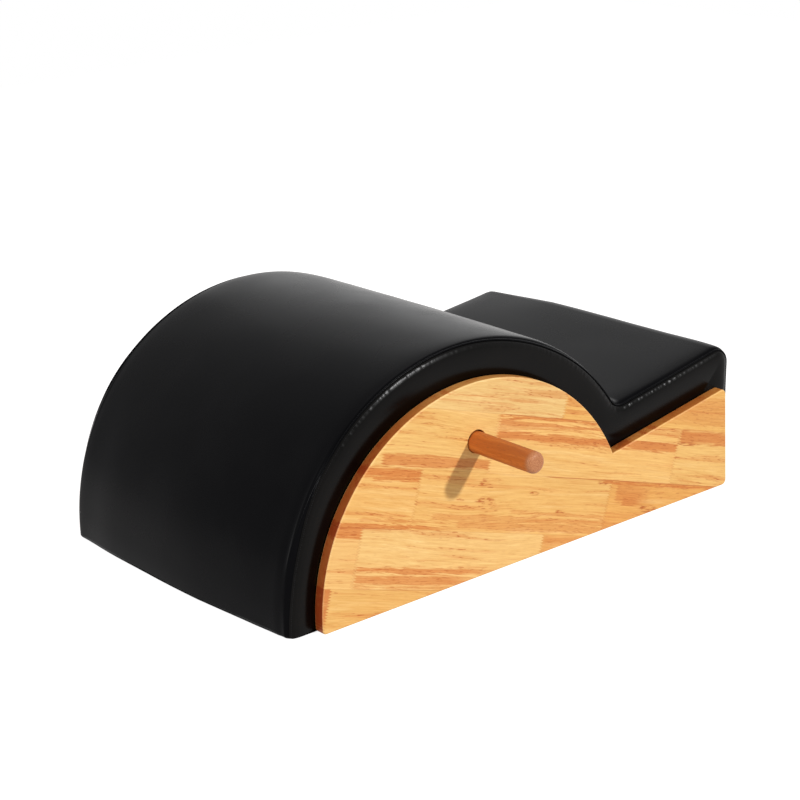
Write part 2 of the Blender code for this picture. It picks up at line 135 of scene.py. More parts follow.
def maths(operation, *values):
    made = addNode("ShaderNodeMath", dict(enumerate(values)), operation=operation)
    return made.outputs[0]


def times(first, second):
    return maths("MULTIPLY", first, second)


def larger(first, second):
    return second if first is None else maths("MAXIMUM", first, second)


def gapBetween(first, second):
    return maths("ABSOLUTE", maths("SUBTRACT", first, second))


def centred(value, size):
    # how far a noise is from its middle, times a size
    return times(maths("SUBTRACT", value, 0.5), size)


def vectorMaths(operation, *values, result=0):
    made = addNode("ShaderNodeVectorMath", dict(enumerate(values)), operation=operation)
    return made.outputs[result]


def combined(*parts):
    return addNode("ShaderNodeCombineXYZ", dict(enumerate(parts))).outputs[0]


def parted(vector):
    return addNode("ShaderNodeSeparateXYZ", {0: vector}).outputs


def opaque(colour):
    return (*colour, 1.0) if isinstance(colour, tuple) and len(colour) == 3 else colour


def mixed(factor, first, second, blend="MIX"):
    inputs = {0: factor, 6: opaque(first), 7: opaque(second)}
    made = addNode("ShaderNodeMix", inputs, data_type="RGBA", blend_type=blend)
    return made.outputs[2]


def ramp(factor, stops, interpolation="LINEAR"):
    made = addNode("ShaderNodeValToRGB", {0: factor})
    made.color_ramp.interpolation = interpolation
    elements = made.color_ramp.elements
    while len(elements) < len(stops):
        elements.new(0.5)
    for element, (place, colour) in zip(elements, stops):
        element.position = place
        element.color = opaque(colour)
    return made.outputs["Color"]


def ranged(value, low, high, toLow=0.0, toHigh=1.0, smooth=True):
    kind = "SMOOTHSTEP" if smooth else "LINEAR"
    inputs = {0: value, 1: low, 2: high, 3: toLow, 4: toHigh}
    return addNode("ShaderNodeMapRange", inputs, interpolation_type=kind).outputs[0]


def between(value, start, end, rise, fall):
    # 1 from start to end, with soft ends of their own lengths
    head = ranged(value, start, start + rise)
    return times(head, ranged(value, end - fall, end, 1.0, 0.0))


def noiseAt(vector, scale, detail=2.0, roughness=0.5):
    inputs = {"Vector": vector, "Scale": scale, "Detail": detail, "Roughness": roughness}
    return addNode("ShaderNodeTexNoise", inputs).outputs[0]


def newGroup(name, inputs, outputs):
    tree = bpy.data.node_groups.new(name, "ShaderNodeTree")
    for label, value in inputs.items():
        kind = "NodeSocketVector" if value is None else "NodeSocketFloat"
        socket = tree.interface.new_socket(label, in_out="INPUT", socket_type=kind)
        if value is not None:
            socket.default_value = value
    for label in outputs:
        tree.interface.new_socket(label, in_out="OUTPUT", socket_type="NodeSocketFloat")
    start = tree.nodes.new("NodeGroupInput")
    return tree, start.outputs, tree.nodes.new("NodeGroupOutput")


def placeGroup(group, inputs):
    return addNode("ShaderNodeGroup", inputs, node_tree=group).outputs


def newMaterial(name):
    # a material, its shader and the object's own coordinates
    made = bpy.data.materials.new(name)
    made.use_nodes = True
    point = addTo(made.node_tree, "ShaderNodeTexCoord").outputs["Object"]
    return made, made.node_tree.nodes["Principled BSDF"], point


def finishShader(shader, colour, roughness, height, strength, depth, specular=0.5):
    bump = addNode("ShaderNodeBump", {"Height": height, "Strength": strength, "Distance": depth})
    feed(shader, {
        "Base Color": colour,
        "Roughness": roughness,
        "Specular IOR Level": specular,
        "Normal": bump.outputs[0],
    })


def laidAcross(point):
    x, y, z = parted(point)
    return combined(y, x, z)


def fibreRoughness(grain, low, high):
    return ranged(grain["Fibre"], 0.2, 0.8, low, high, smooth=False)


# Shared effects

woodLayers = {  # how often each layer of the grain varies in a metre, along it and across it
    "wander": (3.0, 9.0),
    "figure": (3.2, 85.0),
    "fibre": (15.0, 480.0),
    "dashes": (75.0, 560.0),
    "wanderSize": 0.035,
    "poreLevels": (0.56, 0.66),
}


def makeWoodGrain():
    inputs = {"Vector": None, "Seed": 0.0, "Coarseness": 1.0}
    tree, given, end = newGroup("woodGrain", inputs, ("Figure", "Fibre", "Dashes", "Pores"))
    seed = combined(*(times(given["Seed"], factor) for factor in (1.37, 2.71, 0.93)))
    inputs = {0: given["Vector"], 3: given["Coarseness"]}
    point = addNode("ShaderNodeVectorMath", inputs, operation="SCALE").outputs[0]

    def layer(point, name, **settings):
        along, across = woodLayers[name]
        place = vectorMaths("MULTIPLY_ADD", point, (along, across, across), seed)
        return noiseAt(place, 1.0, **settings)

    wander = centred(layer(point, "wander", detail=1.0), woodLayers["wanderSize"])
    point = vectorMaths("ADD", point, combined(0.0, wander, wander))
    dashes = layer(point, "dashes", detail=1.5)
    feed(end, {
        "Figure": layer(point, "figure", detail=5.0, roughness=0.68),
        "Fibre": layer(point, "fibre", detail=3.0, roughness=0.6),
        "Dashes": dashes,
        "Pores": ranged(dashes, *woodLayers["poreLevels"]),
    })
    return tree


leatherLayers = {
    "pebbleEdge": 0.35,
    "pebbleShare": 0.7,
    "creaseShare": 0.6,
    "creaseScale": 260.0,
    "wearScale": 9.0,
}


def makeLeatherGrain():
    inputs = {"Vector": None, "Cell Size": 1.4 * mm}
    tree, given, end = newGroup("leatherGrain", inputs, ("Height", "Wear"))
    perMetre = maths("DIVIDE", 1.0, given["Cell Size"])
    inputs = {"Vector": given["Vector"], "Scale": perMetre}
    cells = addNode("ShaderNodeTexVoronoi", inputs, feature="DISTANCE_TO_EDGE").outputs[0]
    pebble = ranged(cells, 0.0, leatherLayers["pebbleEdge"])
    pebble = times(pebble, leatherLayers["pebbleShare"])
    creases = noiseAt(given["Vector"], leatherLayers["creaseScale"], detail=3.0)
    creases = times(creases, leatherLayers["creaseShare"])
    wear = noiseAt(given["Vector"], leatherLayers["wearScale"], detail=3.0)
    feed(end, {"Height": maths("ADD", pebble, creases), "Wear": wear})
    return tree


woodGrain = makeWoodGrain()
leatherGrain = makeLeatherGrain()


# Panel wood: finger-jointed rows that run down to the right at the row angle

panelWood = {
    "rowAngle": 18.0,
    "firstRow": -21 * mm,
    "rowWidth": 87.3 * mm,
    "toothPitch": 4.2 * mm,
    "toothLength": 6.0 * mm,
    # how far from a thin line's middle it starts and ends fading, the last in rows
    "jointLine": (0.4 * mm, 1.4 * mm),
    "glueLine": (0.4 * mm, 1.1 * mm),
    "rowEdge": (0.4925, 0.4985),
    # lengths over which a glue line's two ends and a band's start fade
    "glueFades": (20 * mm, 30 * mm),
    "bandRise": 6 * mm,
    # a band's edges, in half widths, and how far the grain's two layers make them ragged
    "bandEdges": (0.7, 1.35),
    "bandRagged": (12 * mm, 18 * mm),
    # for each row from the bottom: where its finger joints are, in metres along it
    "joints": [[-0.003], [0.032, 0.380], [0.118, 0.500], [0.243, 0.628], [0.370]],
    "tones": {  # linear colours of each board, three numbers kept for each row
        0: (0.60, 0.22, 0.058), 1: (0.75, 0.430, 0.128),
        3: (0.80, 0.48, 0.165), 4: (0.81, 0.51, 0.182), 5: (0.74, 0.38, 0.108),
        6: (0.79, 0.45, 0.136), 7: (0.79, 0.46, 0.140), 8: (0.77, 0.400, 0.105),
        9: (0.80, 0.49, 0.158), 10: (0.83, 0.49, 0.155), 11: (0.81, 0.49, 0.155),
        12: (0.80, 0.53, 0.200), 13: (0.80, 0.45, 0.124),
    },
    "otherBoards": 4,  # the board whose tone those not listed take
    "tonePlaces": 16,
    "streak": (0.61, 0.195, 0.038),
    "pale": (0.90, 0.62, 0.26),
    "dark": (0.46, 0.120, 0.020),
    # the colour of a painted highlight along the rounded arris
    "rim": (0.95, 0.70, 0.38),
    # what the fine fibres multiply the colour by, from the darkest to the palest
    "fibres": ((0.87, 0.78, 0.66), (1.06, 1.14, 1.24)),
    # tints of the board's colour on its edges, by the grain that they cut: partly the real darker
    # end and side grain, partly painted shade on the edges and in the grip's bore
    "endGrainAndShade": (0.42, 0.17, 0.090),
    "sideGrainAndShade": (0.74, 0.50, 0.32),
    "roughness": (0.40, 0.52),
    "fibreRelief": 0.4,
    "poreRelief": 0.5,
    # levels of the grain between which each effect sets in
    "streakLevels": (0.52, 0.64),
    "paleLevels": (0.47, 0.35),
    "fibreLevels": (0.25, 0.75),
    "fleckLevels": (0.48, 0.58),
    # how sideways the surface faces, or how far along the rows: where each edge effect sets in,
    # the painted shade on the edges and the painted highlight on the arris
    "edgeFacing": (0.12, 0.45),
    "rimFacing": (0.40, 0.60, 0.85, 0.98),
    "endFacing": (0.30, 0.85),
    # shares of each effect in the colour
    "streakShare": 0.45,
    "paleShare": 0.35,
    "poreShare": 0.11,
    "streakPoreShare": 0.70,
    "jointShare": 0.30,
    "rowEdgeShare": 0.25,
    # the share of the painted highlight on the arris
    "rimShare": 0.12,
    "fleckShares": (0.22, 0.90),
    # darker bands in the boards, in mm: start and end along the row, height across it,
    # half width, fading length, and then the strength
    "bands": [
        (-20, 32, 146, 8, 2, 0.85), (32, 330, 95, 4, 100, 0.75), (32, 300, 80, 6.5, 100, 0.7),
        (32, 300, 70, 2, 100, 0.45), (380, 700, 145, 6, 100, 0.35), (-20, 118, 233, 6.5, 2, 0.85),
        (30, 118, 226, 3, 2, 0.8), (-20, 230, 157.5, 2.2, 100, 0.8),
        (20, 290, 166, 1.6, 100, 0.4), (243, 628, 325.5, 2.2, 2, 0.8),
        (243, 628, 317.5, 2.4, 2, 0.7), (243, 560, 311, 1.4, 60, 0.45),
        (243, 628, 297.5, 5.8, 2, 0.85), (330, 560, 292, 2.6, 60, 0.6),
        (40, 243, 252, 6, 2, 0.75), (60, 243, 259, 2.2, 2, 0.6), (628, 900, 318, 9.5, 100, 0.8),
        (480, 980, 237.5, 2.6, 100, 0.8), (512, 605, 222, 13, 45, 0.55),
        (528, 590, 212, 8, 35, 0.75), (150, 640, 174, 4.5, 100, 0.4),
        (200, 640, 164, 6, 100, 0.45), (300, 600, 185, 2.5, 100, 0.4),
        (80, 370, 350.5, 1.8, 100, 0.55), (100, 330, 342, 1.2, 100, 0.35),
        (370, 560, 356, 6, 60, 0.5), (370, 520, 340, 3.5, 60, 0.5), (580, 980, 360, 20, 100, 0.4),
    ],
    # thin dark glue lines between rows, in mm: height across, start and end along,
    # and then the strength
    "glueLines": [
        (240.9, 350, 780, 0.75), (328.2, 243, 560, 0.65), (153.6, -30, 120, 0.75),
        (66.3, 30, 300, 0.45),
    ],
    "fleckZone": (1.2, 2.6),  # where a cluster starts and ends fading, in half sizes squared
    # clusters of short flecks, in mm: along the row, across it, half length, half height
    "flecks": [
        (241, 226, 11, 5), (250, 200, 17, 5.5), (265, 195, 8, 3.5), (200, 200, 7, 2),
        (344, 215, 9, 3), (404, 189, 10, 3), (482, 237, 12, 3.5), (392, 338, 10, 3),
        (650, 306, 30, 3), (590, 200, 20, 6),
    ],
}


def metres(values):
    return [value * mm for value in values]


def boardsOf(along, across):
    # each board's number, the place along the row with the teeth of the joints in it,
    # the place across counted in rows, and lines beside the joints
    half = panelWood["toothPitch"] / 2
    tooth = maths("SUBTRACT", maths("PINGPONG", across, half), half / 2)
    jointed = maths("ADD", along, times(tooth, panelWood["toothLength"] / half))
    fromFirst = maths("SUBTRACT", across, panelWood["firstRow"])
    row = maths("DIVIDE", fromFirst, panelWood["rowWidth"])
    rowNumber = maths("FLOOR", row)
    board = times(rowNumber, 3.0)
    lines = None
    for number, places in enumerate(panelWood["joints"]):
        inRow = maths("COMPARE", rowNumber, float(number), 0.1)
        for place in places:
            passed = maths("GREATER_THAN", jointed, place)
            board = maths("MULTIPLY_ADD", inRow, passed, board)
            gap = gapBetween(jointed, place)
            line = ranged(gap, *panelWood["jointLine"], 1.0, 0.0)
            lines = larger(lines, times(inRow, line))
    return board, jointed, row, lines


def boardTone(board):
    tones, places = panelWood["tones"], panelWood["tonePlaces"]
    stops = []
    for number in range(places - 1):
        tone = tones.get(number, tones[panelWood["otherBoards"]])
        stops.append(((number + 0.25) / places if number else 0.0, tone))
    share = maths("DIVIDE", maths("ADD", board, 0.5), float(places))
    return ramp(share, stops, "CONSTANT")


def bandsOf(along, across, grain):
    fine, broad = panelWood["bandRagged"]
    ragged = maths("ADD", centred(grain["Fibre"], fine), centred(grain["Figure"], broad))
    bands = None
    for *lengths, strength in panelWood["bands"]:
        start, end, middle, half, fade = metres(lengths)
        away = maths("ADD", gapBetween(across, middle), ragged)
        body = ranged(away, *(half * edge for edge in panelWood["bandEdges"]), strength, 0.0)
        band = times(body, between(along, start, end, panelWood["bandRise"], fade))
        bands = larger(bands, band)
    return bands


def withFlecks(colour, along, across, grain):
    short = ranged(grain["Dashes"], *panelWood["fleckLevels"])
    shade, dark = panelWood["fleckShares"]
    for lengths in panelWood["flecks"]:
        middleS, middleT, halfS, halfT = metres(lengths)
        ds = maths("DIVIDE", maths("SUBTRACT", along, middleS), halfS)
        dt = maths("DIVIDE", maths("SUBTRACT", across, middleT), halfT)
        away = maths("MULTIPLY_ADD", ds, ds, times(dt, dt))
        away = maths("MULTIPLY_ADD", grain["Figure"], 2.0, away)
        zone = ranged(away, *panelWood["fleckZone"], 1.0, 0.0)
        colour = mixed(times(zone, shade), colour, panelWood["streak"])
        colour = mixed(times(zone, times(short, dark)), colour, panelWood["dark"])
    return colour


def glueLinesOf(lines, along, across):
    for *lengths, strength in panelWood["glueLines"]:
        height, start, end = metres(lengths)
        line = ranged(gapBetween(across, height), *panelWood["glueLine"], strength, 0.0)
        line = times(line, between(along, start, end, *panelWood["glueFades"]))
        lines = larger(lines, line)
    return lines


def withEdgeGrainShadeAndHighlight(colour, normal, angle):
    # browner edges, by the grain that each cuts, partly real end and side grain and partly painted
    # shade, and a painted highlight along the rounded arris
    flat = maths("ABSOLUTE", parted(normal)[1])
    rowLine = (math.cos(angle), 0.0, -math.sin(angle))
    cut = vectorMaths("DOT_PRODUCT", normal, rowLine, result="Value")
    endShare = ranged(maths("ABSOLUTE", cut), *panelWood["endFacing"])
    grainAndShadeTint = mixed(endShare, panelWood["sideGrainAndShade"], panelWood["endGrainAndShade"])
    edge = mixed(1.0, colour, grainAndShadeTint, "MULTIPLY")
    colour = mixed(ranged(flat, *panelWood["edgeFacing"], 1.0, 0.0), colour, edge)
    # a painted highlight on the rounded arris, between the edge and the face
    starts, full, fades, ends = panelWood["rimFacing"]
    rim = ranged(flat, fades, ends, panelWood["rimShare"], 0.0)
    rim = times(ranged(flat, starts, full), rim)
    return mixed(rim, colour, panelWood["rim"])


def makePanelWood(name, shiftAlong, shiftAcross, featured):
    made, shader, point = newMaterial(name)
    angle = math.radians(panelWood["rowAngle"])
    originAlong = shiftAlong - woodLeft * math.cos(angle)
    originAcross = shiftAcross - woodLeft * math.sin(angle)
    moved = addNode("ShaderNodeMapping", {
        "Vector": point,
        "Location": (originAlong, 0.0, originAcross),
        "Rotation": (0.0, -angle, 0.0),
    }).outputs[0]
    along, depth, across = parted(moved)
    board, jointed, row, lines = boardsOf(along, across)
    grainPoint = combined(along, across, depth)
    grain = placeGroup(woodGrain, {"Vector": grainPoint, "Seed": board})

    # broad streaks, fibres and the short dark pores that lie along the grain
    streaks = ranged(grain["Figure"], *panelWood["streakLevels"])
    share = times(streaks, panelWood["streakShare"])
    colour = mixed(share, boardTone(board), panelWood["streak"])
    pale = ranged(grain["Figure"], *panelWood["paleLevels"])
    colour = mixed(times(pale, panelWood["paleShare"]), colour, panelWood["pale"])
    if featured:
        bands = bandsOf(jointed, across, grain)
        colour = mixed(bands, colour, panelWood["streak"])
        streaks = larger(streaks, bands)
        colour = withFlecks(colour, along, across, grain)
    fibre = ranged(grain["Fibre"], *panelWood["fibreLevels"], smooth=False)
    colour = mixed(1.0, colour, mixed(fibre, *panelWood["fibres"]), "MULTIPLY")
    shares = (panelWood["streakPoreShare"], panelWood["poreShare"])
    pores = times(grain["Pores"], maths("MULTIPLY_ADD", streaks, *shares))
    colour = mixed(pores, colour, panelWood["dark"])

    lines = times(lines, panelWood["jointShare"])
    if featured:
        lines = glueLinesOf(lines, along, across)
    rowEdge = gapBetween(maths("FRACT", row), 0.5)
    rowEdge = ranged(rowEdge, *panelWood["rowEdge"], 0.0, panelWood["rowEdgeShare"])
    colour = mixed(larger(lines, rowEdge), colour, panelWood["dark"])
    # painted shade on the edges and in the bore, and a painted highlight on the arris
    colour = withEdgeGrainShadeAndHighlight(colour, point.node.outputs["Normal"], angle)
    rough = fibreRoughness(grain, *panelWood["roughness"])
    relief = times(grain["Fibre"], panelWood["fibreRelief"])
    relief = maths("MULTIPLY_ADD", grain["Pores"], -panelWood["poreRelief"], relief)
    finishShader(shader, colour, rough, relief, 0.25, 0.15 * mm, specular=0.30)
    return made


panelWoods = {
    "left": makePanelWood("panelWoodLeft", 0.0, 0.0, True),
    "right": makePanelWood("panelWoodRight", 0.155, 0.030, False),
}


# Grip wood, leather and the hidden materials

gripWood = {
    "side": (0.44, 0.110, 0.016),
    "streak": (0.57, 0.165, 0.027),
    "pores": (0.25, 0.075, 0.02),
    "end": (0.53, 0.23, 0.100),
    "endDark": (0.35, 0.125, 0.046),
    "endZone": 13 * mm,
    "endRagged": 2 * mm,
    "seed": 4.0,
    "coarseness": 1.6,
    "streakLevels": (0.42, 0.66),
    "poreShare": 0.35,
    "roughness": (0.42, 0.55),
}
gripReach = 127 * mm


def makeGripWood():
    made, shader, point = newMaterial("gripWood")
    inputs = {"Seed": gripWood["seed"], "Coarseness": gripWood["coarseness"]}
    grain = placeGroup(woodGrain, {"Vector": laidAcross(point), **inputs})
    streaks = ranged(grain["Figure"], *gripWood["streakLevels"])
    colour = mixed(streaks, gripWood["side"], gripWood["streak"])
    colour = mixed(times(grain["Pores"], gripWood["poreShare"]), colour, gripWood["pores"])
    speckle = noiseAt(point, 900.0)
    ends = ramp(speckle, [(0.38, gripWood["endDark"]), (0.60, gripWood["end"])])
    fromMiddle = maths("ABSOLUTE", parted(point)[1])
    fromTip = maths("SUBTRACT", panelOuterY + gripReach, fromMiddle)
    fromTip = maths("ADD", fromTip, centred(speckle, gripWood["endRagged"]))
    zone = ranged(fromTip, gripWood["endZone"] * 0.15, gripWood["endZone"], 1.0, 0.0)
    colour = mixed(zone, colour, ends)
    rough = fibreRoughness(grain, *gripWood["roughness"])
    finishShader(shader, colour, rough, grain["Fibre"], 0.2, 0.2 * mm, specular=0.30)
    return made


leatherLooks = {
    "strip": {
        "colour": (0.0007, 0.0007, 0.0012),
        "worn": (0.0017, 0.0017, 0.0022),
        "roughness": (0.23, 0.29),
        "specular": 0.036,
    },
    "wall": {
        "colour": (0.0008, 0.0006, 0.0004),
        "worn": (0.0018, 0.0014, 0.0011),
        "roughness": (0.21, 0.27),
        "specular": 0.086,
    },
    "cellSize": 1.4 * mm,
    "grainDepth": 0.05 * mm,
}


def makeLeather(name, look):
    made, shader, point = newMaterial(name)
    inputs = {"Vector": point, "Cell Size": leatherLooks["cellSize"]}
    grain = placeGroup(leatherGrain, inputs)
    colour = mixed(ranged(grain["Wear"], 0.35, 0.70), look["colour"], look["worn"])
    rough = ranged(grain["Wear"], 0.3, 0.7, *look["roughness"])
    depth = leatherLooks["grainDepth"]
    finishShader(shader, colour, rough, grain["Height"], 0.35, depth, look["specular"])
    return made


hiddenWoods = {
    "plywood": {
        "seed": 7.0,
        "coarseness": 0.7,
        "tones": [(0.35, (0.72, 0.56, 0.36)), (0.65, (0.60, 0.43, 0.25))],
        "darkPly": (0.30, 0.19, 0.10),
        "plyThickness": 1.5 * mm,
        "plyEdge": (0.6 * mm, 0.9 * mm),
        "plyShare": 0.45,
        "roughness": (0.58, 0.72),
    },
    "pine": {
        "seed": 11.0,
        "coarseness": 2.2,
        "tones": [(0.35, (0.80, 0.64, 0.42)), (0.62, (0.66, 0.44, 0.22))],
        "roughness": (0.62, 0.76),
    },
}


def plyLevel(point, axis):
    if axis != "bent":
        return vectorMaths("DOT_PRODUCT", point, axis, result="Value")
    fromAxis = vectorMaths("ADD", point, (-axisX, 0.0, -axisHeight))
    flat = vectorMaths("MULTIPLY", fromAxis, (1.0, 0.0, 1.0))
    return vectorMaths("LENGTH", flat, result="Value")


def makeHiddenWood(name, kind, axis=None):
    # plywood shows its plies across an axis; the pine's grain runs across the object
    look = hiddenWoods[kind]
    made, shader, point = newMaterial(name)
    along = point if axis else laidAcross(point)
    inputs = {"Vector": along, "Seed": look["seed"], "Coarseness": look["coarseness"]}
    grain = placeGroup(woodGrain, inputs)
    colour = ramp(grain["Figure"], look["tones"])
    if axis:
        plies = maths("PINGPONG", plyLevel(point, axis), look["plyThickness"])
        dark = times(ranged(plies, *look["plyEdge"]), look["plyShare"])
        colour = mixed(dark, colour, look["darkPly"])
    rough = fibreRoughness(grain, *look["roughness"])
    finishShader(shader, colour, rough, grain["Fibre"], 0.3, 0.2 * mm)
    return made


def makeSpeckled(name, base, other, scale, roughness, metallic=0.0, specular=0.5):
    made, shader, point = newMaterial(name)
    speckle = noiseAt(point, scale, detail=3.0)
    colour = ramp(speckle, [(0.35, base), (0.65, other)])
    rough = ranged(speckle, 0.3, 0.7, *roughness)
    feed(shader, {"Metallic": metallic})
    finishShader(shader, colour, rough, speckle, 0.3, 0.1 * mm, specular)
    return made


gripMaterial = makeGripWood()
leather = makeLeather("blackLeather", leatherLooks["strip"])
wallLeather = makeLeather("wallLeather", leatherLooks["wall"])
threadLook = makeSpeckled(
    "seamThread", (0.008, 0.008, 0.009), (0.018, 0.018, 0.020), 1500.0, (0.45, 0.6), specular=0.08
)
rubber = makeSpeckled(
    "footRubber", (0.016, 0.016, 0.016), (0.026, 0.026, 0.026), 700.0, (0.75, 0.9)
)
screwSteel = makeSpeckled(
    "screwSteel", (0.50, 0.50, 0.53), (0.64, 0.64, 0.66), 900.0, (0.28, 0.42), metallic=1.0
)
pine = makeHiddenWood("pineRail", "pine")
plyAxes = {
    "Upright": (0.0, 1.0, 0.0),
    "Flat": (0.0, 0.0, 1.0),
    "Step": (-math.sin(rampTurn), 0.0, math.cos(rampTurn)),
    "End": (1.0, 0.0, 0.0),
    "Bent": "bent",
}
plywoods = {
    name: makeHiddenWood(f"plywood{name}", "plywood", axis) for name, axis in plyAxes.items()
}
print("materials made")


# Side outlines

def angleAboutAxis(point):
    return math.degrees(math.atan2(point[1] - axisHeight, point[0])) % 360


def rampHeight(u, rise=0.0):
    level = outlineShape["stepHeight"] + rampSlope * (u - outlineShape["stepEnd"])
    return level + rise / math.cos(rampTurn)


def barrelMeetsRamp(radius, rise):
    level = rampHeight(0.0, rise) - axisHeight
    a = 1 + rampSlope**2
    half = rampSlope * level
    u = (-half + math.sqrt(half**2 - a * (level**2 - radius**2))) / a
    return u, rampHeight(u, rise)


def arcPoints(centre, radius, start, end, steps):
    turn = np.radians(np.linspace(start, end, steps + 1))
    return np.stack([centre[0] + radius * np.cos(turn), centre[1] + radius * np.sin(turn)], axis=1)


def straight(first, last, steps):
    share = np.linspace(0, 1, steps + 1)[:, None]
    return np.asarray(first) * (1 - share) + np.asarray(last) * share


def sideOutline(rises, base, rounds, steps, swell=0.0):
    # from the barrel's foot, over the barrel, through the valley, up the ramp
    # and down the step's end
    barrel, rise, end = rises
    foot, valley, top, heel = rounds
    reach = barrelRadius + barrel + swell
    footCentre = (-math.sqrt((reach - foot) ** 2 - (base + foot - axisHeight) ** 2), base + foot)
    footAngle = angleAboutAxis(footCentre)
    valleyCentre = barrelMeetsRamp(barrelRadius + barrel + valley, rise + valley)
    valleyAngle = angleAboutAxis(valleyCentre)
    endU = outlineShape["stepEnd"] + end
    topCentre = (endU - top, rampHeight(endU - top, rise - top))
    heelCentre = (endU - heel, base + heel)
    turn = np.radians(np.linspace(footAngle, valleyAngle, steps["barrel"] + 1))
    grown = barrelRadius + barrel + swell * np.minimum(np.cos(turn), 0.0) ** 4
    over = np.stack([grown * np.cos(turn), axisHeight + grown * np.sin(turn)], axis=1)
    slope = outlineShape["rampAngle"]
    valleyArc = arcPoints(valleyCentre, valley, valleyAngle + 180, 270 + slope, steps["valley"])
    topArc = arcPoints(topCentre, top, 90 + slope, 0, steps["top"])
    heelArc = arcPoints(heelCentre, heel, 0, -90, steps["heel"])
    return np.concatenate([
        arcPoints(footCentre, foot, 270, footAngle, steps["foot"]),
        over[1:-1],
        valleyArc,
        straight(valleyArc[-1], topArc[0], steps["ramp"])[1:-1],
        topArc,
        straight(topArc[-1], heelArc[0], steps["end"])[1:-1],
        heelArc,
    ])


def smoothStep(value, low, high):
    t = np.clip((value - low) / (high - low), 0, 1)
    return t * t * (3 - 2 * t)


def steadily(at, known, values):
    # smooth interpolation through known values, along the first axis
    known, values, at = (np.asarray(v, float) for v in (known, values, at))
    slopes = np.gradient(values, known, axis=0)
    k = np.clip(np.searchsorted(known, at, side="right") - 1, 0, len(known) - 2)
    shape = (-1,) + (1,) * (values.ndim - 1)
    width = (known[k + 1] - known[k]).reshape(shape)
    s = np.clip((at - known[k]).reshape(shape) / width, 0, 1)
    return (
        (2 * s**3 - 3 * s**2 + 1) * values[k]
        + (s**3 - 2 * s**2 + s) * width * slopes[k]
        + (3 * s**2 - 2 * s**3) * values[k + 1]
        + (s**3 - s**2) * width * slopes[k + 1]
    )


def lengthAlong(points):
    # the distance along a line to each of its points
    return np.concatenate([[0], np.cumsum(np.linalg.norm(np.diff(points, axis=0), axis=1))])


def smoothThrough(points, count):
    # a smooth line through a few points, evenly stepped along its length
    points = np.asarray(points, float)
    chord = lengthAlong(points)
    return steadily(np.linspace(0, chord[-1], count), chord, points)


# Mesh helpers

def finishedObject(mesh, material, body, sharp=40.0):
    mesh.materials.clear()
    mesh.materials.append(material)
    mesh.shade_smooth()
    mesh.set_sharp_from_angle(angle=math.radians(sharp))
    obj = addObject(mesh.name, mesh)
    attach(obj, body)
    return obj


def meshOf(name, bm, merge=0.01 * mm):
    bmesh.ops.remove_doubles(bm, verts=bm.verts, dist=merge)
    bmesh.ops.dissolve_degenerate(bm, edges=bm.edges, dist=merge)
    bmesh.ops.recalc_face_normals(bm, faces=bm.faces)
    mesh = bpy.data.meshes.new(name)
    bm.to_mesh(mesh)
    bm.free()
    return mesh


def vertsOf(bm, rings):
    return [[bm.verts.new(point) for point in ring] for ring in rings]


def joinRings(bm, rings):
    # each closed ring is joined to the next by a band of faces
    for near, far in zip(rings, rings[1:]):
        for i in range(len(near)):
            j = (i + 1) % len(near)
            bm.faces.new((near[i], near[j], far[j], far[i]))


def plateMesh(name, loops, bores):
    # a plate through closed loops from its outer cap to its inner one, with bores given as rings
    bm = bmesh.new()
    caps = ([], [])
    for family in [loops] + bores:
        rings = vertsOf(bm, family)
        joinRings(bm, rings)
        caps[0].append(rings[0])
        caps[1].append(rings[-1])
    for cap in caps:
        edges = []
        for ring in cap:
            for i, vert in enumerate(ring):
                edges.append(bm.edges.get((vert, ring[(i + 1) % len(ring)])))
        bmesh.ops.triangle_fill(bm, edges=edges, use_beauty=True, use_dissolve=False)
    return meshOf(name, bm)


def placed(outline, y):
    return [(axisX + u, y, z) for u, z in outline]


def circleAt(u, z, radius, y, steps):
    turn = np.linspace(0, 2 * math.pi, steps, endpoint=False)
    return [(axisX + u + radius * math.cos(a), y, z + radius * math.sin(a)) for a in turn]


# Side panels

sidePanel = {
    "corner": 9 * mm,
    "footCorner": 6 * mm,
    "notchRound": 0.02 * mm,
    "arris": 2.4 * mm,
    "arrisSteps": 7,
    "supportWidth": 0.6 * mm,
    "steps": {"foot": 10, "barrel": 150, "valley": 6, "ramp": 10, "top": 10, "end": 6, "heel": 10},
    "boreSteps": 72,
    "boreRadius": 17.15 * mm,
    "boreEase": 1.0 * mm,
}
gripMiddle = (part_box("hand_grip_left")[0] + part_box("hand_grip_left")[1]) / 2
gripHeight = gripMiddle.z


def panelOutline(inset):
    corner = sidePanel["corner"] - inset
    rounds = (sidePanel["footCorner"] - inset, max(inset, sidePanel["notchRound"]), corner, corner)
    return sideOutline((-inset, -inset, -inset), inset, rounds, sidePanel["steps"])


def roundedEdge(sign, size):
    # rings through a rounded edge: how far each lies inside it, and its place across the panel
    inner, outer = sign * planeY, sign * panelOuterY
    rings = arcPoints((size, size), size, 270, 180, sidePanel["arrisSteps"])
    support = size + sidePanel["supportWidth"]
    return [
        (support, outer),
        *((inset, outer - sign * depth) for inset, depth in rings),
        *((inset, inner + sign * depth) for inset, depth in rings[::-1]),
        (support, inner),
    ]


def makeSidePanel(side, sign):
    loops = [placed(panelOutline(inset), y) for inset, y in roundedEdge(sign, sidePanel["arris"])]
    bore = []
    for inset, y in roundedEdge(sign, sidePanel["boreEase"]):
        radius = sidePanel["boreRadius"] + inset
        bore.append(circleAt(0.0, gripHeight, radius, y, sidePanel["boreSteps"]))
    mesh = plateMesh(f"sidePanel_{side}", loops, [bore])
    obj = finishedObject(mesh, panelWoods[side], "base")
    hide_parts(f"side_panel_{side}")


for side, sign in sides.items():
    makeSidePanel(side, sign)
print("side panels made")


# Hand grips

